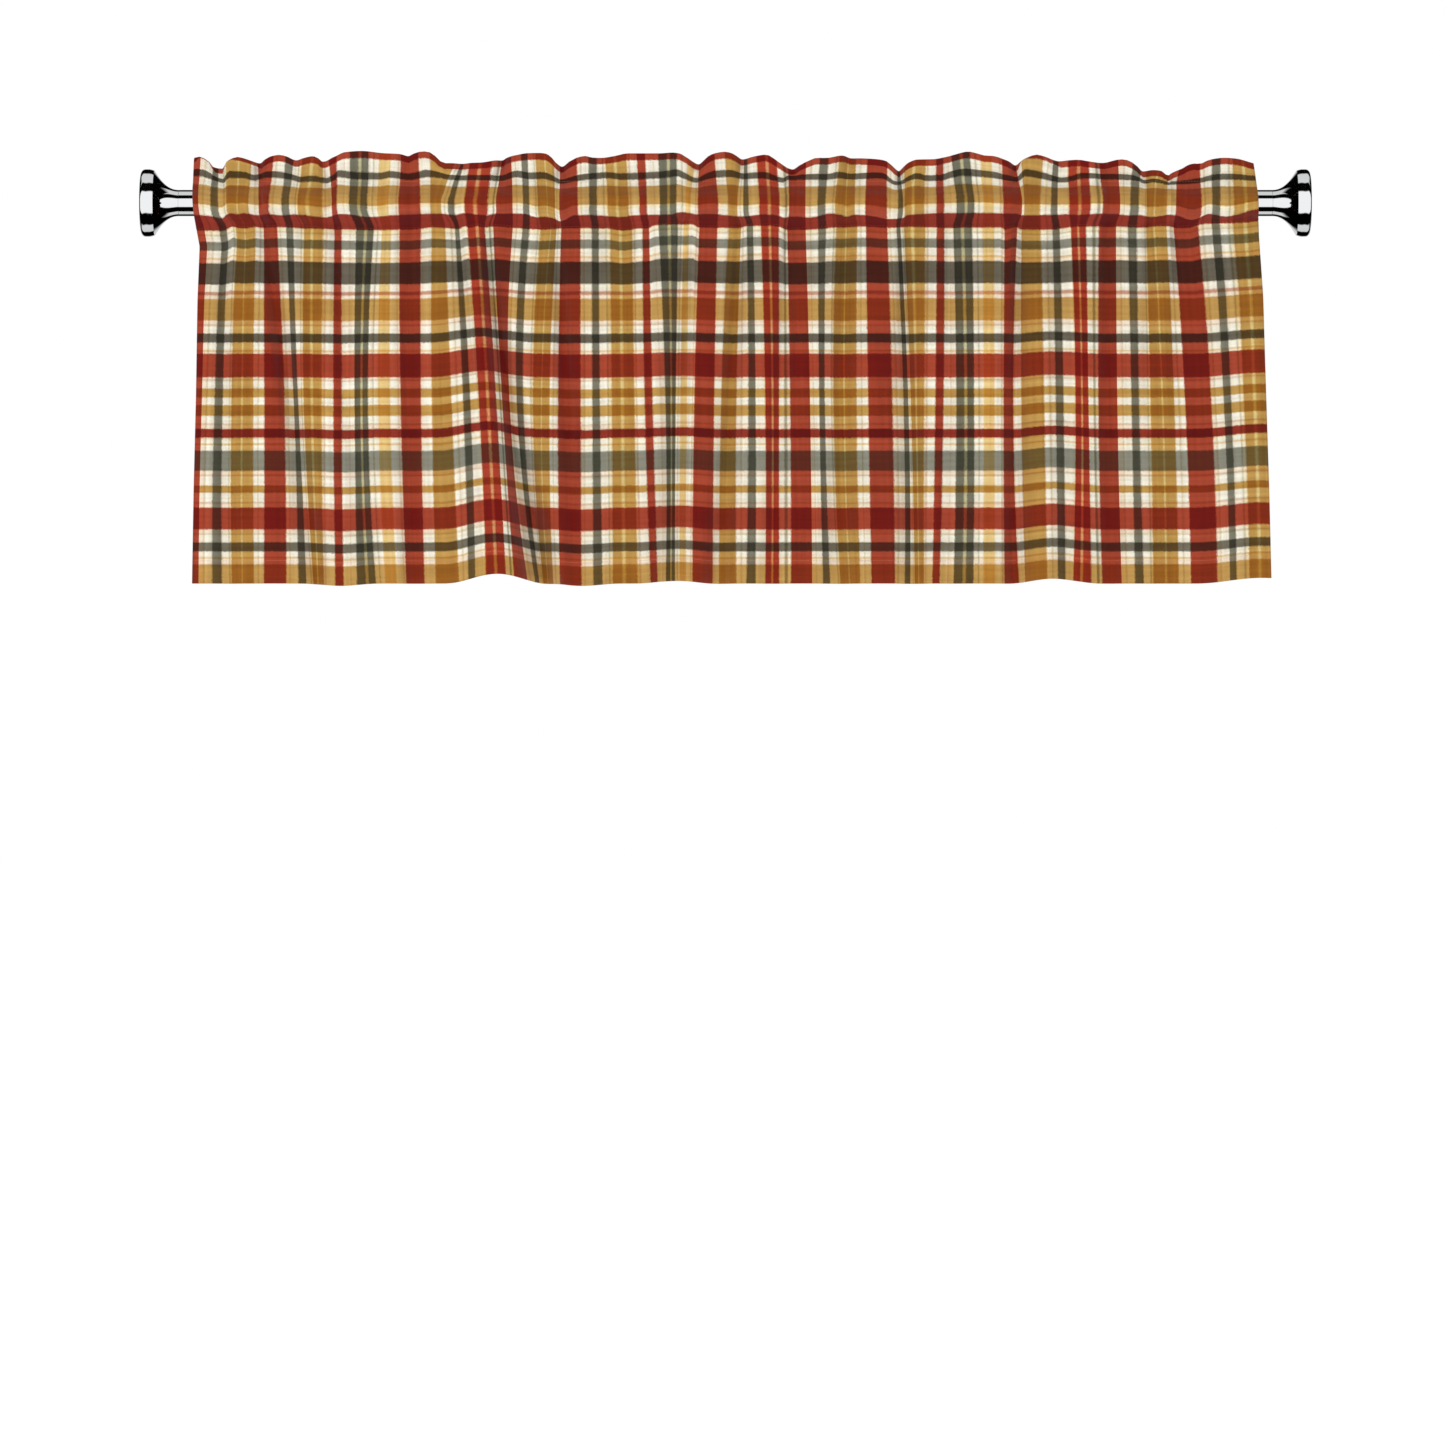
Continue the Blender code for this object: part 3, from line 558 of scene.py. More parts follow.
def column_flats():
    """Where the mesh's columns lie in the flat cloth: closer together in the folds."""
    x, flat = flat_places("rod", 0.0, LOWER_SEAM_HEIGHT)
    density = np.ones_like(x)
    for fold in FOLDS:
        density += FOLD_DENSITY * bump(x - fold_centre(fold, 0.0), 14.0)
    steps = np.diff(flat) * (density[1:] + density[:-1]) / 2.0
    count = np.concatenate([[0.0], np.cumsum(steps)])
    inner = np.interp(np.linspace(0.0, count[-1], COLUMNS), count, flat)
    return inner


FLATS = column_flats()


def level_places(level, drop, height):
    x, flat = flat_places(level, drop, height)
    return np.interp(FLATS, flat, x)


LEVELS = {
    "top": level_places("top", -1.0, HEADER_TOP),
    "rod": level_places("rod", -0.35, 0.0),
    "seam": level_places("seam", 0.0, LOWER_SEAM_HEIGHT),
    "middle": level_places("middle", 0.5, LOWER_SEAM_HEIGHT - PANEL_LENGTH / 2.0),
    "hem": level_places("hem", 1.0, HEM_HEIGHT),
}


def row_places(drop, height):
    """The columns' places along the rod at one height."""
    if drop < 0.0:
        up = np.interp(drop, (-1.0, ROD_PLACE), (1.0, 0.0))
        down = ease(np.interp(drop, (SHEAR_PLACE, 0.0), (0.0, 1.0)))
        x = LEVELS["rod"] + (LEVELS["top"] - LEVELS["rod"]) * up + (LEVELS["seam"] - LEVELS["rod"]) * down
    else:
        x = through(LEVELS["seam"], LEVELS["middle"], LEVELS["hem"], drop)
    left, right = side_edges(height)
    x = x + (left - x[0]) * ease(1.0 - FLATS / EDGE_REACH)
    x = x + (right - x[-1]) * ease(1.0 - (FLAT_WIDTH - FLATS) / EDGE_REACH)
    return x


def belly(x, centres):
    """The soft forward curve of the cloth between two folds."""
    stops = np.array([x[0], *centres, x[-1]])
    index = np.clip(np.searchsorted(stops, x, side="right") - 1, 0, len(stops) - 2)
    span = stops[index + 1] - stops[index]
    part = (x - stops[index]) / np.maximum(span, 1.0)
    return np.minimum(BELLY_SHARE * span, BELLY_LIMIT) * np.sin(math.pi * part) ** 2


def rod_troughs(x, drop, limit):
    """How far the gathers go back at the header, the seams and the pocket, none further than limit."""
    total = np.zeros_like(x)
    for fold in FOLDS:
        depth = min(trough_depth(fold.take_rod, fold.half_rod), limit)
        total = np.maximum(total, depth * bump(x - fold_centre(fold, drop), fold.half_rod * ROD_SPREAD))
    return total


def panel_troughs(x, drop):
    """How far the folds of the hanging panel go back."""
    total = np.zeros_like(x)
    for fold in FOLDS:
        half = fold.half_rod + (fold.half_hem - fold.half_rod) * math.sqrt(drop)
        depth = TROUGH_SHARE * trough_depth(fold_take(fold, drop), half)
        total += depth * bump(x - fold_centre(fold, drop), half)
    return total


def creases(x, drop):
    """How far the narrow creases go back."""
    total = np.zeros_like(x)
    for crease in CREASES:
        part = (drop - crease.start_drop) / (crease.end_drop - crease.start_drop)
        if not 0.0 < part < 1.0:
            continue
        centre = crease.start_x + (crease.end_x - crease.start_x) * part
        total += crease.depth * math.sin(math.pi * part) ** 0.6 * bump(x - centre, crease.half)
    return total


def ridge_sums(x, drop):
    """How far the ridges stand out, and how far they draw the cloth up."""
    out = np.zeros_like(x)
    lift = np.zeros_like(x)
    for ridge in RIDGES:
        centre = ridge.seam + (ridge.hem - ridge.seam) * drop
        shape = bump(x - centre, ridge.half)
        out += (ridge.out_seam + (ridge.out_hem - ridge.out_seam) * drop) * shape
        start = ridge.lift_seam * ease(drop / SEAM_RISE_REACH)
        lift += (start + (ridge.lift_hem - ridge.lift_seam) * drop) * shape
    return out, lift


def smooth_through(stops, values, x):
    """A curve through given points that never overshoots them."""
    gaps = np.diff(stops)
    slopes = np.diff(values) / gaps
    product = slopes[:-1] * slopes[1:]
    total = slopes[:-1] + slopes[1:]
    inner = np.where(product > 0.0, 2.0 * product / np.where(product > 0.0, total, 1.0), 0.0)
    tangents = np.concatenate([[slopes[0]], inner, [slopes[-1]]])
    index = np.clip(np.searchsorted(stops, x, side="right") - 1, 0, len(gaps) - 1)
    part = np.clip((x - stops[index]) / gaps[index], 0.0, 1.0)
    rest = 1.0 - part
    ends = values[index] * (1.0 + 2.0 * part) * rest**2 + values[index + 1] * part**2 * (3.0 - 2.0 * part)
    return ends + gaps[index] * part * rest * (tangents[index] * rest - tangents[index + 1] * part)


def chart_places(chart):
    return (np.array([point[0] for point in chart], float) - CHART_MIDDLE) * CHART_SQUARE


def line_height(chart, x):
    """The height of a charted line over places along the rod."""
    heights = (CHART_AXIS - np.array([point[1] for point in chart], float)) * CHART_SQUARE
    return smooth_through(chart_places(chart), heights, x)


def rolled_edge(x):
    return np.interp(x, chart_places(ROLLED), [point[1] for point in ROLLED])


def seam_line(drop, height):
    """A stitched line through the gathers, as columns of points."""
    x = row_places(drop, height)
    out = ridge_sums(x, 0.0)[0]
    y = SEAM_CREST + rod_troughs(x, drop, SEAM_LIMIT) - out
    return np.stack([x, y, np.full_like(x, height)], axis=1)


def lower_seam():
    """The lower seam, at its charted height."""
    seam = seam_line(0.0, LOWER_SEAM_HEIGHT)
    seam[:, 2] = line_height(SEAM_LINE, seam[:, 0]) + WINE_BOTTOM - HEADER_LENGTH - POCKET_LENGTH
    return seam


def panel_drops():
    """How far down the panel each of its rows lies, from the hem up: closer together near the seam."""
    return [(step / PANEL_STEPS) ** PANEL_CROWDING for step in range(PANEL_STEPS, 0, -1)]


def panel_rows(seam):
    """The hanging panel, from the hem up to just below the lower seam, with its flat places."""
    rows = []
    downs = []
    for drop in panel_drops():
        height = LOWER_SEAM_HEIGHT - PANEL_LENGTH * drop
        x = row_places(drop, height)
        out, lift = ridge_sums(x, drop)
        lift += (seam[:, 2] - LOWER_SEAM_HEIGHT) * (1.0 - ease(drop / SEAM_RISE_REACH))
        centres = [fold_centre(fold, drop) for fold in FOLDS]
        hanging = PANEL_CREST - belly(x, centres) + panel_troughs(x, drop) - out
        y = seam[:, 1] + (hanging - seam[:, 1]) * ease(drop / SEAM_REACH) + creases(x, drop)
        rows.append(np.stack([x, y, height + lift], axis=1))
        downs.append(HEADER_LENGTH + POCKET_LENGTH + PANEL_LENGTH * drop)
    return rows, downs


def wrap(lower, upper, side, puff, steps):
    """One wall of the pocket in a column, round the rod. side is -1 in front of the rod and 1 behind it."""
    turn_low = math.atan2(side * lower[1], -lower[2])
    turn_high = math.atan2(side * upper[1], -upper[2]) % (2.0 * math.pi)
    start = turn_low + math.acos(POCKET_RADIUS / math.hypot(lower[1], lower[2]))
    end = turn_high - math.acos(POCKET_RADIUS / math.hypot(upper[1], upper[2]))
    arc = []
    for step in range(steps + 1):
        turn = start + (end - start) * step / steps
        share = math.sin(math.pi * (step + 1) / (steps + 2)) ** PUFF_ROUNDNESS
        radius = POCKET_RADIUS + puff * share
        arc.append((side * radius * math.sin(turn), -radius * math.cos(turn)))
    rise = [
        tuple(near + (far - near) * step / STRAIGHT_STEPS for near, far in zip(lower[1:], arc[0]))
        for step in range(1, STRAIGHT_STEPS)
    ]
    last = tuple((near + far) / 2.0 for near, far in zip(arc[-1], upper[1:]))
    return [*rise, *arc, last]


def pocket_rows(lower, upper, side, puffs, steps):
    """The rows of one wall of the pocket, from just above the lower seam to just below the upper one."""
    walls = [wrap(low, high, side, puff, steps) for low, high, puff in zip(lower, upper, puffs)]
    walls = np.array(walls).transpose(1, 0, 2)
    path = np.concatenate([lower[None, :, 1:], walls, upper[None, :, 1:]])
    lengths = np.linalg.norm(np.diff(path, axis=0), axis=2).mean(axis=1)
    shares = np.cumsum(lengths) / lengths.sum()
    rows = []
    for share, wall in zip(shares, walls):
        height = LOWER_SEAM_HEIGHT + (UPPER_SEAM_HEIGHT - LOWER_SEAM_HEIGHT) * share
        x = row_places(UPPER_SEAM_DROP * share, height)
        rows.append(np.concatenate([x[:, None], wall], axis=1))
    return rows


def layer_reach(reach):
    """Half the distance between two seamed layers in each column: more where the side hems lie between."""
    to_side = np.minimum(FLATS, FLAT_WIDTH - FLATS)
    return reach + LAYER_GAP * ease((SIDE_HEM_WIDTH + CORNER_EASE - to_side) / CORNER_EASE)


def header_rows(seam, steps, side):
    """The header above the upper seam, in front of its middle or behind it, without the seam's row."""
    rows = []
    seamed = layer_reach(SEAM_GAP)
    for step in range(1, steps + 1):
        rise = step / steps
        place = UPPER_SEAM_DROP - (1.0 + UPPER_SEAM_DROP) * rise
        x = row_places(place, UPPER_SEAM_HEIGHT + (HEADER_TOP - UPPER_SEAM_HEIGHT) * rise)
        edge = line_height(TOP_LINE, x) - layer_reach(HEADER_GAP)
        top_y = HEADER_CREST + rod_troughs(x, place, HEADER_LIMIT)
        y = seam[:, 1] + (top_y - seam[:, 1]) * rise
        z = seam[:, 2] + (edge - seam[:, 2]) * rise
        reach = seamed + (HEADER_GAP - SEAM_GAP) * ease(rise * 2.0)
        rows.append(np.stack([x, y + side * reach, z], axis=1))
    return rows


def moved(row, back):
    """A row of points moved towards the wall that holds the rod."""
    shifted = row.copy()
    shifted[:, 1] += back
    return shifted


def crumpled(rows):
    """The gathered front with its short creases, each a soft ridge that slants across the pocket."""
    x, z = rows[:, :, 0], rows[:, :, 2]
    for crumple in CRUMPLES:
        share = (crumple.top_z - z) / (crumple.top_z - crumple.low_z)
        centre = crumple.top_x + (crumple.low_x - crumple.top_x) * share
        rows[:, :, 1] -= crumple.rise * bump(share - 0.5, CRUMPLE_REACH) * bump(x - centre, crumple.half)
    return rows


def seen_downs(rows):
    """Where the points of the gathered front lie down the flat cloth, from the charted lines."""
    x, z = rows[:, :, 0], rows[:, :, 2]
    rolled = rolled_edge(x)
    top = line_height(TOP_LINE, x)
    grey = line_height(GREY_LINE, x)
    gold = GOLD_TOP[0] + GOLD_FOLLOWS * (grey - GREY_HEIGHT)
    wine = line_height(WINE_LINE, x)
    seam = line_height(SEAM_LINE, x)
    heights = np.stack([
        top, top - np.maximum(EDGE_STRIPE_SEEN - 0.9 * rolled, 0.2), grey, gold, wine, seam
    ])
    downs = np.stack([
        rolled, np.maximum(rolled + 0.3, EDGE_STRIPE), np.full_like(x, GREY_MIDDLE),
        np.full_like(x, GOLD_TOP[1]), np.full_like(x, WINE_TOP), np.full_like(x, WINE_BOTTOM),
    ])
    found = downs[0].copy()
    for above, below, first, last in zip(heights, heights[1:], downs, downs[1:]):
        part = np.clip((above - z) / np.maximum(above - below, 0.2), 0.0, 1.0)
        found = np.where(z < above, first + (last - first) * part, found)
    return found


def cloth_rows():
    """Every row of the cloth, from the hem in front, over the top and down the back of the pocket."""
    lower = lower_seam()
    upper = seam_line(UPPER_SEAM_DROP, UPPER_SEAM_HEIGHT)
    depth = rod_troughs(lower[:, 0], 0.0, FRONT_PUFF)
    rows, downs = panel_rows(lower)

    def add(new, start, end):
        count = len(new)
        rows.extend(new)
        downs.extend(start + (end - start) * (step + 1) / count for step in range(count))

    at_lower = HEADER_LENGTH + POCKET_LENGTH
    seamed = layer_reach(SEAM_GAP)
    marks = {}
    add([moved(lower, -seamed)], at_lower, at_lower)
    marks["lower"] = len(rows) - 1
    front = pocket_rows(lower, upper, -1, np.maximum(FRONT_PUFF - depth, 0.0), ARC_STEPS)
    add([*front, moved(upper, -seamed)], at_lower, HEADER_LENGTH)
    marks["upper"] = len(rows) - 1
    add(header_rows(upper, HEADER_STEPS, -1.0), HEADER_LENGTH, HEADER_GAP)
    crown = rows[-1]
    marks["crown"] = len(rows) - 1
    over = []
    reach = layer_reach(HEADER_GAP)
    for step in range(1, TOP_STEPS):
        turn = math.pi * step / TOP_STEPS
        row = moved(crown, reach * (1.0 - math.cos(turn)))
        row[:, 2] += reach * math.sin(turn)
        over.append(row)
    add(over, HEADER_GAP, -HEADER_GAP)
    back = header_rows(upper, BACK_HEADER_STEPS, 1.0)[::-1]
    add([*back, moved(upper, seamed)], -HEADER_GAP, -HEADER_LENGTH)
    marks["upper_back"] = len(rows) - 1
    behind = pocket_rows(lower, upper, 1, BACK_PUFF * depth / FRONT_PUFF, BACK_ARC_STEPS)[::-1]
    add([*behind, moved(lower, seamed)], -HEADER_LENGTH, -at_lower)
    marks["lower_back"] = len(rows) - 1
    tail = []
    for step in range(1, TURN_STEPS + 1):
        part = step / TURN_STEPS
        below = TURN_UNDER * part
        row = moved(lower, seamed + TAIL_LEAN * part)
        row[:, 2] -= below
        left, right = side_edges(LOWER_SEAM_HEIGHT - below)
        x = row_places(below / PANEL_LENGTH, LOWER_SEAM_HEIGHT - below)
        row[:, 0] = np.clip(x, left + TAIL_INSET, right - TAIL_INSET)
        tail.append(row)
    add(tail, -at_lower, -at_lower - TURN_UNDER)

    grid = np.array(rows)
    flat_down = np.repeat(np.array(downs)[:, None], grid.shape[1], axis=1)
    gathered = slice(marks["lower"] + 1, marks["crown"] + 1)
    grid[gathered] = crumpled(grid[gathered])
    flat_down[gathered] = seen_downs(grid[gathered])
    rolled = rolled_edge(grid[marks["crown"], :, 0])
    behind_crown = slice(marks["crown"] + 1, marks["upper_back"])
    fade = np.linspace(1.0, 0.0, marks["upper_back"] - marks["crown"] - 1)
    flat_down[behind_crown] += rolled[None, :] * fade[:, None]
    return grid, flat_down, marks


def normals(grid):
    """The unit normal at each point of a grid, on the cloth's right side."""
    along = np.gradient(grid, axis=1)
    up = np.gradient(grid, axis=0)
    across = np.cross(along, up)
    return across / np.maximum(np.linalg.norm(across, axis=2, keepdims=True), 1e-9)


def turned_hem(grid, downs):
    """The rows of the bottom hem, folded up behind the panel and over the two side hems."""
    facing = normals(grid)
    to_side = np.minimum(FLATS, FLAT_WIDTH - FLATS)
    corner = ease((SIDE_HEM_WIDTH + CORNER_EASE - to_side) / CORNER_EASE)
    depth = LAYER_GAP * (1.0 + 2.0 * corner)
    drops = panel_drops()
    rows = []
    places = []
    for step in range(HEM_STEPS, 0, -1):
        width = HEM_WIDTH * step / HEM_STEPS
        drop = 1.0 - width / PANEL_LENGTH
        index = sum(level > drop for level in drops) - 1
        part = (drops[index] - drop) / (drops[index] - drops[index + 1])
        level = grid[index] * (1.0 - part) + grid[index + 1] * part
        out = facing[index] * (1.0 - part) + facing[index + 1] * part
        rows.append(level - out * depth[:, None])
        places.append(downs[0] + width)
    sunk = np.zeros_like(grid[0])
    sunk[:, 2] = LAYER_GAP / 2.0
    rows.append(grid[0] - facing[0] * depth[:, None] / 2.0 - sunk)
    places.append(downs[0] + LAYER_GAP / 2.0)
    return np.concatenate([np.array(rows), grid]), np.concatenate([np.array(places), downs])


def turned_sides(grid, downs):
    """The columns of the two side hems, folded behind the cloth, with every point's flat place."""
    facing = normals(grid)
    blocks = [(grid, np.repeat(FLATS[None, :], len(grid), axis=0), downs)]
    for side, way in ((0, -1.0), (-1, 1.0)):
        shift = np.array([way * LAYER_GAP / 2.0, 0.0, 0.0])
        new = [grid[:, side] - facing[:, side] * LAYER_GAP / 2.0 + shift]
        flat = [FLATS[side] + way * LAYER_GAP / 2.0]
        down = [downs[:, side]]
        for step in range(1, SIDE_STEPS + 1):
            width = SIDE_HEM_WIDTH * step / SIDE_STEPS
            place = FLATS[side] - way * width
            index = int(np.clip(np.searchsorted(FLATS, place) - 1, 0, len(FLATS) - 2))
            part = (place - FLATS[index]) / (FLATS[index + 1] - FLATS[index])
            level = grid[:, index] * (1.0 - part) + grid[:, index + 1] * part
            out = facing[:, index] * (1.0 - part) + facing[:, index + 1] * part
            new.append(level - out * LAYER_GAP)
            flat.append(FLATS[side] + way * width)
            down.append(downs[:, index])
        block = np.stack(new, axis=1)
        across = np.repeat(np.array(flat)[None, :], len(grid), axis=0)
        along = np.stack(down, axis=1)
        if side == 0:
            blocks.insert(0, (block[:, ::-1], across[:, ::-1], along[:, ::-1]))
        else:
            blocks.append((block, across, along))
    return tuple(np.concatenate([block[part] for block in blocks], axis=1) for part in range(3))


def grid_mesh(name, grid, flats, downs):
    """A sheet of quads with the flat cloth as its UV map, in metres."""
    count_rows, count_columns = grid.shape[:2]
    points = (grid.reshape(-1, 3) * MM).tolist()
    faces = []
    for row in range(count_rows - 1):
        for column in range(count_columns - 1):
            corner = row * count_columns + column
            faces.append((corner, corner + 1, corner + count_columns + 1, corner + count_columns))
    mesh = bpy.data.meshes.new(name)
    mesh.from_pydata(points, [], faces)
    layer = mesh.uv_layers.new(name="flat_cloth")
    index = np.empty(len(mesh.loops), np.int32)
    mesh.loops.foreach_get("vertex_index", index)
    flat = np.stack([flats.ravel()[index], downs.ravel()[index]], axis=1) * MM
    layer.data.foreach_set("uv", flat.astype(np.float32).ravel())
    mesh.shade_smooth()
    made = bpy.data.objects.new(name, mesh)
    bpy.context.scene.collection.objects.link(made)
    return made


def node(tree, kind, **settings):
    made = tree.nodes.new(kind)
    for name, value in settings.items():
        setattr(made, name, value)
    return made


def math_node(tree, operation, first, second=None):
    made = node(tree, "ShaderNodeMath", operation=operation)
    for socket, value in zip(made.inputs, (first, second)):
        if value is None:
            continue
        if isinstance(value, (int, float)):
            socket.default_value = value
        else:
            tree.links.new(value, socket)
    return made.outputs[0]


def mix_colours(tree, share, first, second, blend="MIX"):
    made = node(tree, "ShaderNodeMix", data_type="RGBA", blend_type=blend)
    for socket, value in ((made.inputs[0], share), (made.inputs[6], first), (made.inputs[7], second)):
        if isinstance(value, (int, float)):
            socket.default_value = value
        elif isinstance(value, tuple):
            socket.default_value = (*value, 1.0)
        else:
            tree.links.new(value, socket)
    return made.outputs[2]


def stripes(tree, place, chart):
    """The yarn colour at a place in a chart of (far edge, colour) rows, both in millimetres."""
    total = chart[-1][0]
    result = None
    for first in range(0, len(chart), MOST_STOPS):
        part = chart[first : first + MOST_STOPS]
        ramp = node(tree, "ShaderNodeValToRGB")
        tree.links.new(math_node(tree, "DIVIDE", place, total), ramp.inputs[0])
        band = ramp.color_ramp
        band.interpolation = "CONSTANT"
        start = chart[first - 1][0] if first else 0.0
        band.elements[0].position = start / total
        band.elements[0].color = (*linear(part[0][1]), 1.0)
        band.elements[1].position = part[0][0] / total
        band.elements[1].color = (*linear(part[1][1]), 1.0)
        for before, here in zip(part[1:], part[2:]):
            stop = band.elements.new(before[0] / total)
            stop.color = (*linear(here[1]), 1.0)
        if result is None:
            result = ramp.outputs[0]
        else:
            later = math_node(tree, "GREATER_THAN", place, start)
            result = mix_colours(tree, later, result, ramp.outputs[0])
    return result


def streaks(tree, across, along, pitch, run, seed):
    """Slubs: noise drawn out along the yarn, from 0 to 1."""
    vector = node(tree, "ShaderNodeCombineXYZ")
    tree.links.new(math_node(tree, "DIVIDE", across, pitch), vector.inputs[0])
    tree.links.new(math_node(tree, "DIVIDE", along, run), vector.inputs[1])
    vector.inputs[2].default_value = seed
    noise = node(tree, "ShaderNodeTexNoise")
    noise.inputs["Scale"].default_value = 1.0
    noise.inputs["Detail"].default_value = 2.0
    tree.links.new(vector.outputs[0], noise.inputs["Vector"])
    return noise.outputs["Fac"]


def yarn_wander(tree, across, down):
    """How far each bit of yarn lies off its place, both ways, so that the edges of stripes are soft."""
    cell = node(tree, "ShaderNodeCombineXYZ")
    tree.links.new(math_node(tree, "DIVIDE", across, YARN_WIDTH), cell.inputs[0])
    tree.links.new(math_node(tree, "DIVIDE", down, YARN_WIDTH), cell.inputs[1])
    whole = node(tree, "ShaderNodeVectorMath", operation="FLOOR")
    tree.links.new(cell.outputs[0], whole.inputs[0])
    noise = node(tree, "ShaderNodeTexWhiteNoise", noise_dimensions="2D")
    tree.links.new(whole.outputs[0], noise.inputs["Vector"])
    parts = node(tree, "ShaderNodeSeparateXYZ")
    tree.links.new(noise.outputs["Color"], parts.inputs[0])
    return [
        math_node(tree, "MULTIPLY", math_node(tree, "SUBTRACT", parts.outputs[way], 0.5), 2.0 * YARN_WANDER)
        for way in (0, 1)
    ]


def plaid_material():
    """A yarn-dyed check: warp and weft colours multiplied, with slubs, a fine weave and a soft sheen."""
    made = bpy.data.materials.new("autumn_plaid")
    made.use_nodes = True
    tree = made.node_tree
    shader = tree.nodes["Principled BSDF"]
    flat = node(tree, "ShaderNodeUVMap", uv_map="flat_cloth")
    parts = node(tree, "ShaderNodeSeparateXYZ")
    tree.links.new(flat.outputs[0], parts.inputs[0])
    across = math_node(tree, "DIVIDE", parts.outputs[0], MM)
    down = math_node(tree, "DIVIDE", parts.outputs[1], MM)
    shifted = math_node(tree, "SUBTRACT", across, WARP_START)
    repeat = math_node(tree, "FLOORED_MODULO", shifted, WARP_REPEAT)
    over_top = math_node(tree, "MULTIPLY", math_node(tree, "LESS_THAN", down, 0.0), WEFT_REPEAT)
    along = math_node(tree, "ADD", down, over_top)
    wander_across, wander_along = yarn_wander(tree, across, down)
    warp = stripes(tree, math_node(tree, "ADD", repeat, wander_across), WARP)
    weft = stripes(tree, math_node(tree, "ADD", along, wander_along), WEFT)
    cloth = mix_colours(tree, 1.0, linear(CREAM), warp, "MULTIPLY")
    cloth = mix_colours(tree, 1.0, cloth, weft, "MULTIPLY")

    warp_slub = streaks(tree, across, down, 4.2, 170.0, 3.0)
    weft_slub = streaks(tree, down, across, 3.6, 120.0, 8.0)
    both = math_node(tree, "ADD", warp_slub, weft_slub)
    share = node(tree, "ShaderNodeMapRange")
    tree.links.new(both, share.inputs["Value"])
    share.inputs["From Min"].default_value = 0.6
    share.inputs["From Max"].default_value = 1.4
    grain = mix_colours(tree, share.outputs[0], STREAK_SHADE, STREAK_LIGHT)
    cloth = mix_colours(tree, 1.0, cloth, grain, "MULTIPLY")
    tree.links.new(cloth, shader.inputs["Base Color"])

    yarn_across = math_node(tree, "SINE", math_node(tree, "MULTIPLY", across, 2.0 * math.pi / 0.9))
    yarn_down = math_node(tree, "SINE", math_node(tree, "MULTIPLY", down, 2.0 * math.pi / 0.9))
    weave = math_node(tree, "MULTIPLY", yarn_across, yarn_down)
    height = math_node(tree, "ADD", math_node(tree, "MULTIPLY", weave, 0.25), both)
    relief = node(tree, "ShaderNodeBump")
    relief.inputs["Strength"].default_value = 0.25
    relief.inputs["Distance"].default_value = 0.0003
    tree.links.new(height, relief.inputs["Height"])
    tree.links.new(relief.outputs[0], shader.inputs["Normal"])
    shader.inputs["Roughness"].default_value = 0.9
    shader.inputs["Specular IOR Level"].default_value = 0.2
    shader.inputs["Sheen Weight"].default_value = 0.12
    shader.inputs["Sheen Roughness"].default_value = 0.5
    return made


def chrome_material():
    """Polished chrome with a trace of handling marks in its gloss."""
    made = bpy.data.materials.new("polished_chrome")
    made.use_nodes = True
    tree = made.node_tree
    shader = tree.nodes["Principled BSDF"]
    shader.inputs["Base Color"].default_value = (0.86, 0.87, 0.88, 1.0)
    shader.inputs["Metallic"].default_value = 1.0
    place = node(tree, "ShaderNodeTexCoord")
    noise = node(tree, "ShaderNodeTexNoise")
    noise.inputs["Scale"].default_value = 38.0
    noise.inputs["Detail"].default_value = 4.0
    tree.links.new(place.outputs["Object"], noise.inputs["Vector"])
    gloss = node(tree, "ShaderNodeMapRange")
    tree.links.new(noise.outputs["Fac"], gloss.inputs["Value"])
    gloss.inputs["To Min"].default_value = 0.03
    gloss.inputs["To Max"].default_value = 0.08
    tree.links.new(gloss.outputs[0], shader.inputs["Roughness"])
    return made


def thread_material(name, dark, light):
    """Twisted sewing thread, dyed to go with the row that it runs along."""
    made = bpy.data.materials.new(name)
    made.use_nodes = True
    tree = made.node_tree
    shader = tree.nodes["Principled BSDF"]
    place = node(tree, "ShaderNodeTexCoord")
    noise = node(tree, "ShaderNodeTexNoise")
    noise.inputs["Scale"].default_value = 900.0
    tree.links.new(place.outputs["Object"], noise.inputs["Vector"])
    cloth = mix_colours(tree, noise.outputs["Fac"], linear(dark), linear(light))
    tree.links.new(cloth, shader.inputs["Base Color"])
    shader.inputs["Roughness"].default_value = 0.75
    shader.inputs["Sheen Weight"].default_value = 0.2
    return made


def turned_piece(name, profile, steps, closed, finish, angle):
    """A profile of (x, radius) rows in millimetres turned about the rod's axis."""
    points = []
    for x, radius in profile:
        for step in range(steps):
            turn = 2.0 * math.pi * step / steps
            points.append((x * MM, radius * math.cos(turn) * MM, radius * math.sin(turn) * MM))
    rings = len(profile)
    faces = []
    for ring in range(rings if closed else rings - 1):
        after = (ring + 1) % rings
        for step in range(steps):
            turn = (step + 1) % steps
            faces.append(
                (ring * steps + step, ring * steps + turn, after * steps + turn, after * steps + step)
            )
    if not closed:
        faces.append(tuple(range(steps)))
        faces.append(tuple((rings - 1) * steps + step for step in range(steps)))
    mesh = bpy.data.meshes.new(name)
    mesh.from_pydata(points, [], faces)
    face_outwards(mesh)
    mesh.shade_smooth()
    mesh.set_sharp_from_angle(angle=math.radians(angle))
    mesh.materials.append(finish)
    made = bpy.data.objects.new(name, mesh)
    bpy.context.scene.collection.objects.link(made)
    return made


def face_outwards(mesh):
    shell = bmesh.new()
    shell.from_mesh(mesh)
    bmesh.ops.recalc_face_normals(shell, faces=shell.faces)
    shell.to_mesh(mesh)
    shell.free()


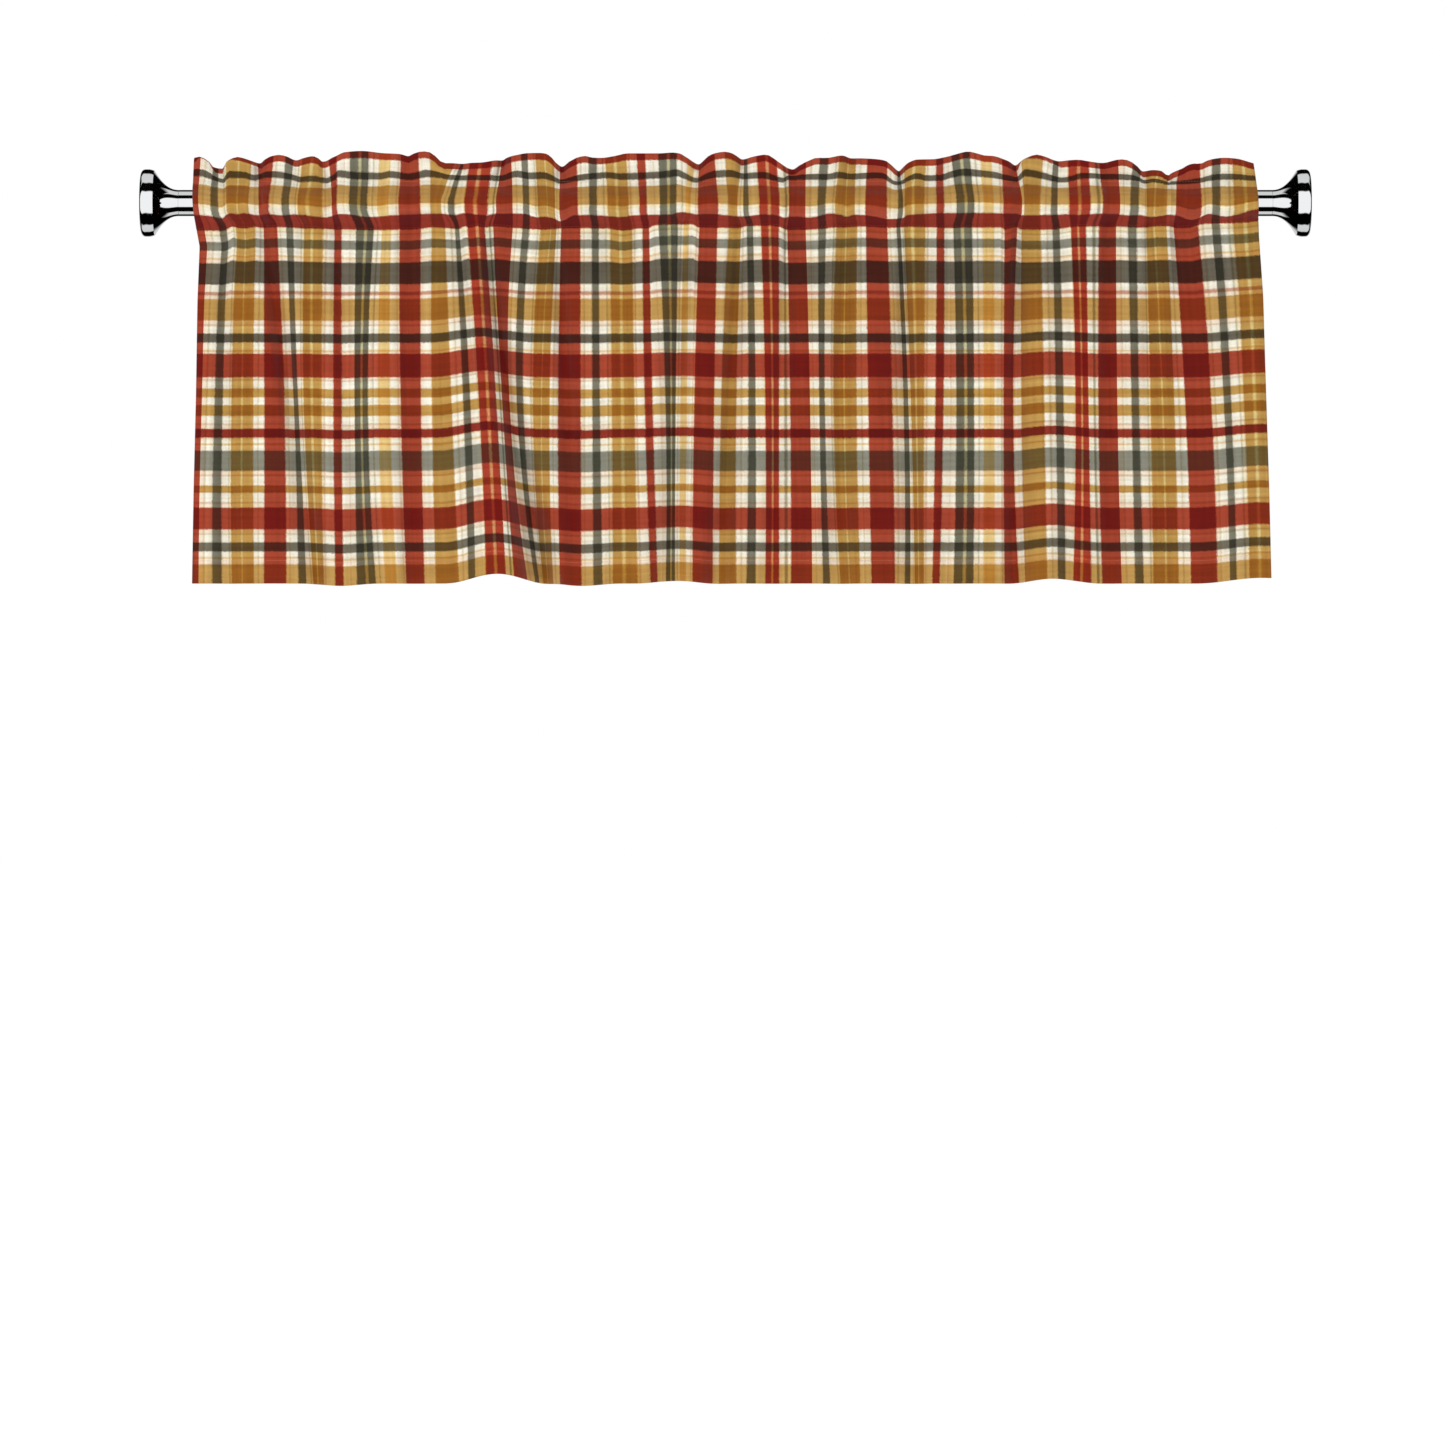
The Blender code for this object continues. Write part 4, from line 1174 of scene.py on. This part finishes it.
def finial_profile():
    """The turned outline, from the spigot's end to the disc's outer face, as (distance out, radius)."""
    spigot = ROD_RADIUS - ROD_WALL - JOINT_GAP
    outline = [(-SPIGOT_LENGTH, spigot - SPIGOT_CHAMFER)]
    outline += [(-SPIGOT_LENGTH + SPIGOT_CHAMFER, spigot), (JOINT_GAP, spigot)]
    for step in range(FLARE_STEPS + 1):
        part = step / FLARE_STEPS
        reach = JOINT_GAP + (FLARE_LENGTH - JOINT_GAP) * part
        outline.append((reach, ROD_RADIUS + (NECK_RADIUS - ROD_RADIUS) * part**FLARE_POWER))
    inner_rim = FLARE_LENGTH + LIP_WIDTH
    outer_rim = FLARE_LENGTH + DISC_THICKNESS
    outline.append((inner_rim, DISC_RADIUS - LIP_DEPTH))
    outline.append((inner_rim + LIP_TAPER, DISC_RADIUS))
    for step in range(RIM_STEPS + 1):
        angle = 0.5 * math.pi * step / RIM_STEPS
        reach = outer_rim - RIM_DEPTH * (1.0 - math.sin(angle))
        outline.append((reach, DISC_RADIUS - RIM_DEPTH * (1.0 - math.cos(angle))))
    return outline


def add_rod(finish):
    bore = ROD_RADIUS - ROD_WALL
    profile = (
        (-ROD_HALF_LENGTH, ROD_RADIUS),
        (ROD_HALF_LENGTH, ROD_RADIUS),
        (ROD_HALF_LENGTH, bore),
        (-ROD_HALF_LENGTH, bore),
    )
    rod = turned_piece("chrome_rod", profile, TURNED_STEPS, True, finish, 40)
    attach(rod, "root")
    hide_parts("rod")


def add_finials(finish):
    for name, side in (("left", -1), ("right", 1)):
        profile = [(side * (ROD_HALF_LENGTH + reach), radius) for reach, radius in finial_profile()]
        finial = turned_piece(f"disc_finial_{name}", profile, TURNED_STEPS, False, finish, 40)
        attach(finial, "root")
        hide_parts(f"finial_{name}")


def solidified(obj, thickness):
    """The object's mesh with its wall made real, so that nothing is left live on it."""
    wall = obj.modifiers.new("wall", "SOLIDIFY")
    wall.thickness = thickness
    wall.offset = 0.0
    wall.use_even_offset = False
    graph = bpy.context.evaluated_depsgraph_get()
    mesh = bpy.data.meshes.new_from_object(obj.evaluated_get(graph))
    obj.modifiers.remove(wall)
    obj.data = mesh


def add_cloth(finish):
    """The valance: one cut length of cloth, with its header, pocket and hems turned."""
    front, front_downs, marks = cloth_rows()
    grid, downs = turned_hem(front, front_downs)
    whole, flats, places = turned_sides(grid, downs)
    cloth = grid_mesh("plaid_valance", whole, flats, places)
    cloth.data.materials.append(finish)
    solidified(cloth, CLOTH_THICKNESS * MM)
    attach(cloth, "root")
    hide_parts("valance")
    cloth.visible_glossy = False
    cut_width = (flats.max() - flats.min()) * MM
    cut_length = (places.max() - places.min()) * MM
    return cloth, front, marks, (cut_width, cut_length)


def stitch_tree(finish):
    """Geometry nodes that lay stitches along a curve."""
    tree = bpy.data.node_groups.new("stitches", "GeometryNodeTree")
    for name, kind, way in (
        ("Geometry", "NodeSocketGeometry", "INPUT"),
        ("Pitch", "NodeSocketFloat", "INPUT"),
        ("Stitch length", "NodeSocketFloat", "INPUT"),
        ("Thread radius", "NodeSocketFloat", "INPUT"),
        ("Geometry", "NodeSocketGeometry", "OUTPUT"),
    ):
        tree.interface.new_socket(name=name, socket_type=kind, in_out=way)
    given = node(tree, "NodeGroupInput")
    result = node(tree, "NodeGroupOutput")
    points = node(tree, "GeometryNodeCurveToPoints", mode="LENGTH")
    stitch = node(tree, "GeometryNodeMeshUVSphere")
    stitch.inputs["Segments"].default_value = 6
    stitch.inputs["Rings"].default_value = 4
    stitch.inputs["Radius"].default_value = 1.0
    size = node(tree, "ShaderNodeCombineXYZ")
    shape = node(tree, "GeometryNodeTransform")
    placed = node(tree, "GeometryNodeInstanceOnPoints")
    real = node(tree, "GeometryNodeRealizeInstances")
    coloured = node(tree, "GeometryNodeSetMaterial")
    coloured.inputs["Material"].default_value = finish
    half = node(tree, "ShaderNodeMath", operation="MULTIPLY")
    half.inputs[1].default_value = 0.5
    for start, end in (
        (given.outputs["Geometry"], points.inputs["Curve"]),
        (given.outputs["Pitch"], points.inputs["Length"]),
        (given.outputs["Thread radius"], size.inputs[0]),
        (given.outputs["Thread radius"], size.inputs[1]),
        (given.outputs["Stitch length"], half.inputs[0]),
        (half.outputs[0], size.inputs[2]),
        (stitch.outputs["Mesh"], shape.inputs["Geometry"]),
        (size.outputs[0], shape.inputs["Scale"]),
        (points.outputs["Points"], placed.inputs["Points"]),
        (points.outputs["Rotation"], placed.inputs["Rotation"]),
        (shape.outputs["Geometry"], placed.inputs["Instance"]),
        (placed.outputs["Instances"], real.inputs["Geometry"]),
        (real.outputs["Geometry"], coloured.inputs["Geometry"]),
        (coloured.outputs["Geometry"], result.inputs["Geometry"]),
    ):
        tree.links.new(start, end)
    return tree


def stitch_line(name, points, tree):
    """One line of stitches along a row of points in millimetres."""
    curve = bpy.data.curves.new(name, "CURVE")
    curve.dimensions = "3D"
    spline = curve.splines.new("POLY")
    spline.points.add(len(points) - 1)
    for place, point in zip(spline.points, points):
        place.co = (*(point * MM), 1.0)
    made = bpy.data.objects.new(name, curve)
    bpy.context.scene.collection.objects.link(made)
    sewing = made.modifiers.new("sewing", "NODES")
    sewing.node_group = tree
    values = {"Pitch": STITCH_PITCH, "Stitch length": STITCH_LENGTH, "Thread radius": STITCH_RADIUS}
    for item in tree.interface.items_tree:
        if item.item_type == "SOCKET" and item.in_out == "INPUT" and item.name in values:
            sewing[item.identifier] = values[item.name] * MM
    graph = bpy.context.evaluated_depsgraph_get()
    mesh = bpy.data.meshes.new_from_object(made.evaluated_get(graph))
    mesh.shade_smooth()
    bpy.data.objects.remove(made, do_unlink=True)
    piece = bpy.data.objects.new(name, mesh)
    bpy.context.scene.collection.objects.link(piece)
    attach(piece, "root")
    return piece


def add_stitches(front, marks):
    """Stitches along both pocket seams, in front and behind, and along the top of the bottom hem."""
    wine = stitch_tree(thread_material("wine_thread", WINE_THREAD[0], WINE_THREAD[1]))
    straw = stitch_tree(thread_material("straw_thread", STRAW_THREAD[0], STRAW_THREAD[1]))
    facing = normals(front)
    hem = sum(drop > 1.0 - (HEM_WIDTH - HEM_STITCH_INSET) / PANEL_LENGTH for drop in panel_drops())
    lines = {
        "stitches_lower_front": marks["lower"],
        "stitches_upper_front": marks["upper"],
        "stitches_upper_back": marks["upper_back"],
        "stitches_lower_back": marks["lower_back"],
        "stitches_hem": hem,
    }
    reach = CLOTH_THICKNESS / 2.0
    pieces = []
    for name, row in lines.items():
        tree = wine if "lower" in name else straw
        pieces.append(stitch_line(name, front[row] + facing[row] * reach, tree))
    return pieces


def add_floor():
    """A plain pale floor, wide enough that its rim never shows."""
    material = bpy.data.materials.new("pale_floor")
    material.use_nodes = True
    shader = material.node_tree.nodes["Principled BSDF"]
    shader.inputs["Base Color"].default_value = (0.90, 0.90, 0.90, 1.0)
    shader.inputs["Roughness"].default_value = 1.0
    shader.inputs["Specular IOR Level"].default_value = 0.0
    shader.inputs["Emission Color"].default_value = (1.0, 1.0, 1.0, 1.0)
    shader.inputs["Emission Strength"].default_value = 0.45
    corners = [(-1, -1), (1, -1), (1, 1), (-1, 1)]
    mesh = bpy.data.meshes.new("floor")
    points = [(x * FLOOR_RADIUS, y * FLOOR_RADIUS, FLOOR_HEIGHT) for x, y in corners]
    mesh.from_pydata(points, [], [(0, 1, 2, 3)])
    mesh.materials.append(material)
    floor = bpy.data.objects.new("floor", mesh)
    bpy.context.scene.collection.objects.link(floor)
    floor.visible_glossy = False


def add_light(name, place, target, size, power):
    light = bpy.data.lights.new(name, "AREA")
    light.shape = "RECTANGLE"
    light.size, light.size_y = size
    light.energy = power
    made = bpy.data.objects.new(name, light)
    made.location = place
    direction = np.array(target) - np.array(place)
    made.rotation_euler = Vector(direction).to_track_quat("-Z", "Y").to_euler()
    made.visible_glossy = False
    bpy.context.scene.collection.objects.link(made)
    return made


def add_world():
    """A white studio: plain white behind the object, softer light on it, and dark flags for the chrome."""
    world = bpy.data.worlds.new("studio")
    bpy.context.scene.world = world
    world.use_nodes = True
    tree = world.node_tree
    tree.nodes.clear()
    output = node(tree, "ShaderNodeOutputWorld")
    path = node(tree, "ShaderNodeLightPath")
    place = node(tree, "ShaderNodeTexCoord")
    parts = node(tree, "ShaderNodeSeparateXYZ")
    tree.links.new(place.outputs["Generated"], parts.inputs[0])
    side = math_node(tree, "ABSOLUTE", parts.outputs[0])
    ahead = math_node(tree, "MULTIPLY", parts.outputs[1], -1.0)
    ahead = math_node(tree, "ADD", ahead, math_node(tree, "MULTIPLY", side, CARD_WRAP))
    angle = math_node(tree, "ARCTAN2", parts.outputs[2], ahead)
    turn = math_node(tree, "ADD", math_node(tree, "DIVIDE", angle, 2.0 * math.pi), 0.5)
    ramp = node(tree, "ShaderNodeValToRGB")
    tree.links.new(turn, ramp.inputs[0])
    band = ramp.color_ramp
    for stop, (turned, value) in zip(band.elements, (CARDS[0], CARDS[-1])):
        stop.position = 0.5 + turned / 2.0
        stop.color = (value, value, value, 1.0)
    for turned, value in CARDS[1:-1]:
        stop = band.elements.new(0.5 + turned / 2.0)
        stop.color = (value, value, value, 1.0)
    dark = node(tree, "ShaderNodeMapRange")
    tree.links.new(side, dark.inputs["Value"])
    dark.inputs["From Min"].default_value = SIDE_FLAG[0]
    dark.inputs["From Max"].default_value = SIDE_FLAG[1]
    behind = math_node(tree, "LESS_THAN", ahead, FLAG_REACH)
    lit_share = math_node(tree, "SUBTRACT", 1.0, math_node(tree, "MULTIPLY", dark.outputs[0], behind))
    soft = node(tree, "ShaderNodeBackground")
    soft.inputs["Color"].default_value = (1.0, 1.0, 1.0, 1.0)
    soft.inputs["Strength"].default_value = 0.62
    once = math_node(tree, "LESS_THAN", path.outputs["Glossy Depth"], MOST_MIRRORED)
    lit_share = math_node(tree, "MULTIPLY", lit_share, once)
    flags = node(tree, "ShaderNodeBackground")
    tree.links.new(ramp.outputs[0], flags.inputs["Color"])
    tree.links.new(lit_share, flags.inputs["Strength"])
    white = node(tree, "ShaderNodeBackground")
    white.inputs["Color"].default_value = (1.0, 1.0, 1.0, 1.0)
    white.inputs["Strength"].default_value = 1.0
    lit = node(tree, "ShaderNodeMixShader")
    tree.links.new(path.outputs["Is Glossy Ray"], lit.inputs[0])
    tree.links.new(soft.outputs[0], lit.inputs[1])
    tree.links.new(flags.outputs[0], lit.inputs[2])
    seen = node(tree, "ShaderNodeMixShader")
    tree.links.new(path.outputs["Is Camera Ray"], seen.inputs[0])
    tree.links.new(lit.outputs[0], seen.inputs[1])
    tree.links.new(white.outputs[0], seen.inputs[2])
    tree.links.new(seen.outputs[0], output.inputs["Surface"])


def add_studio():
    add_world()
    add_light("key", (-2.6, -3.2, 1.6), (0.0, 0.0, -0.2), (1.8, 1.4), 52.0)
    add_light("fill", (2.8, -3.0, 0.6), (0.0, 0.0, -0.2), (2.0, 1.6), 14.0)
    add_floor()


def add_camera():
    """Square on and level, from far away, with the photograph's framing."""
    camera = bpy.data.cameras.new("camera")
    camera.sensor_width = SENSOR
    camera.lens = SENSOR * CAMERA_DISTANCE / FRAME_WIDTH
    made = bpy.data.objects.new("camera", camera)
    made.location = (FRAME_CENTRE_ACROSS, -CAMERA_DISTANCE, FRAME_CENTRE_HEIGHT)
    made.rotation_euler = (math.pi / 2.0, 0.0, 0.0)
    bpy.context.scene.collection.objects.link(made)
    bpy.context.scene.camera = made


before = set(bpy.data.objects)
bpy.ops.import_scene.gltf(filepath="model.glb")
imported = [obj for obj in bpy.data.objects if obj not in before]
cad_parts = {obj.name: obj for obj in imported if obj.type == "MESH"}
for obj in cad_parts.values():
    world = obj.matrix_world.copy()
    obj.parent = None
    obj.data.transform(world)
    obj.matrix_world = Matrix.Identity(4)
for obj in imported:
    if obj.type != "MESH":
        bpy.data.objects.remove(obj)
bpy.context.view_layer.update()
bpy.context.scene.view_settings.view_transform = "Standard"
add_camera()
add_studio()
chrome = chrome_material()
add_rod(chrome)
add_finials(chrome)
cloth, front, marks, cut = add_cloth(plaid_material())
stitches = add_stitches(front, marks)
print("cut size in metres:", cut)
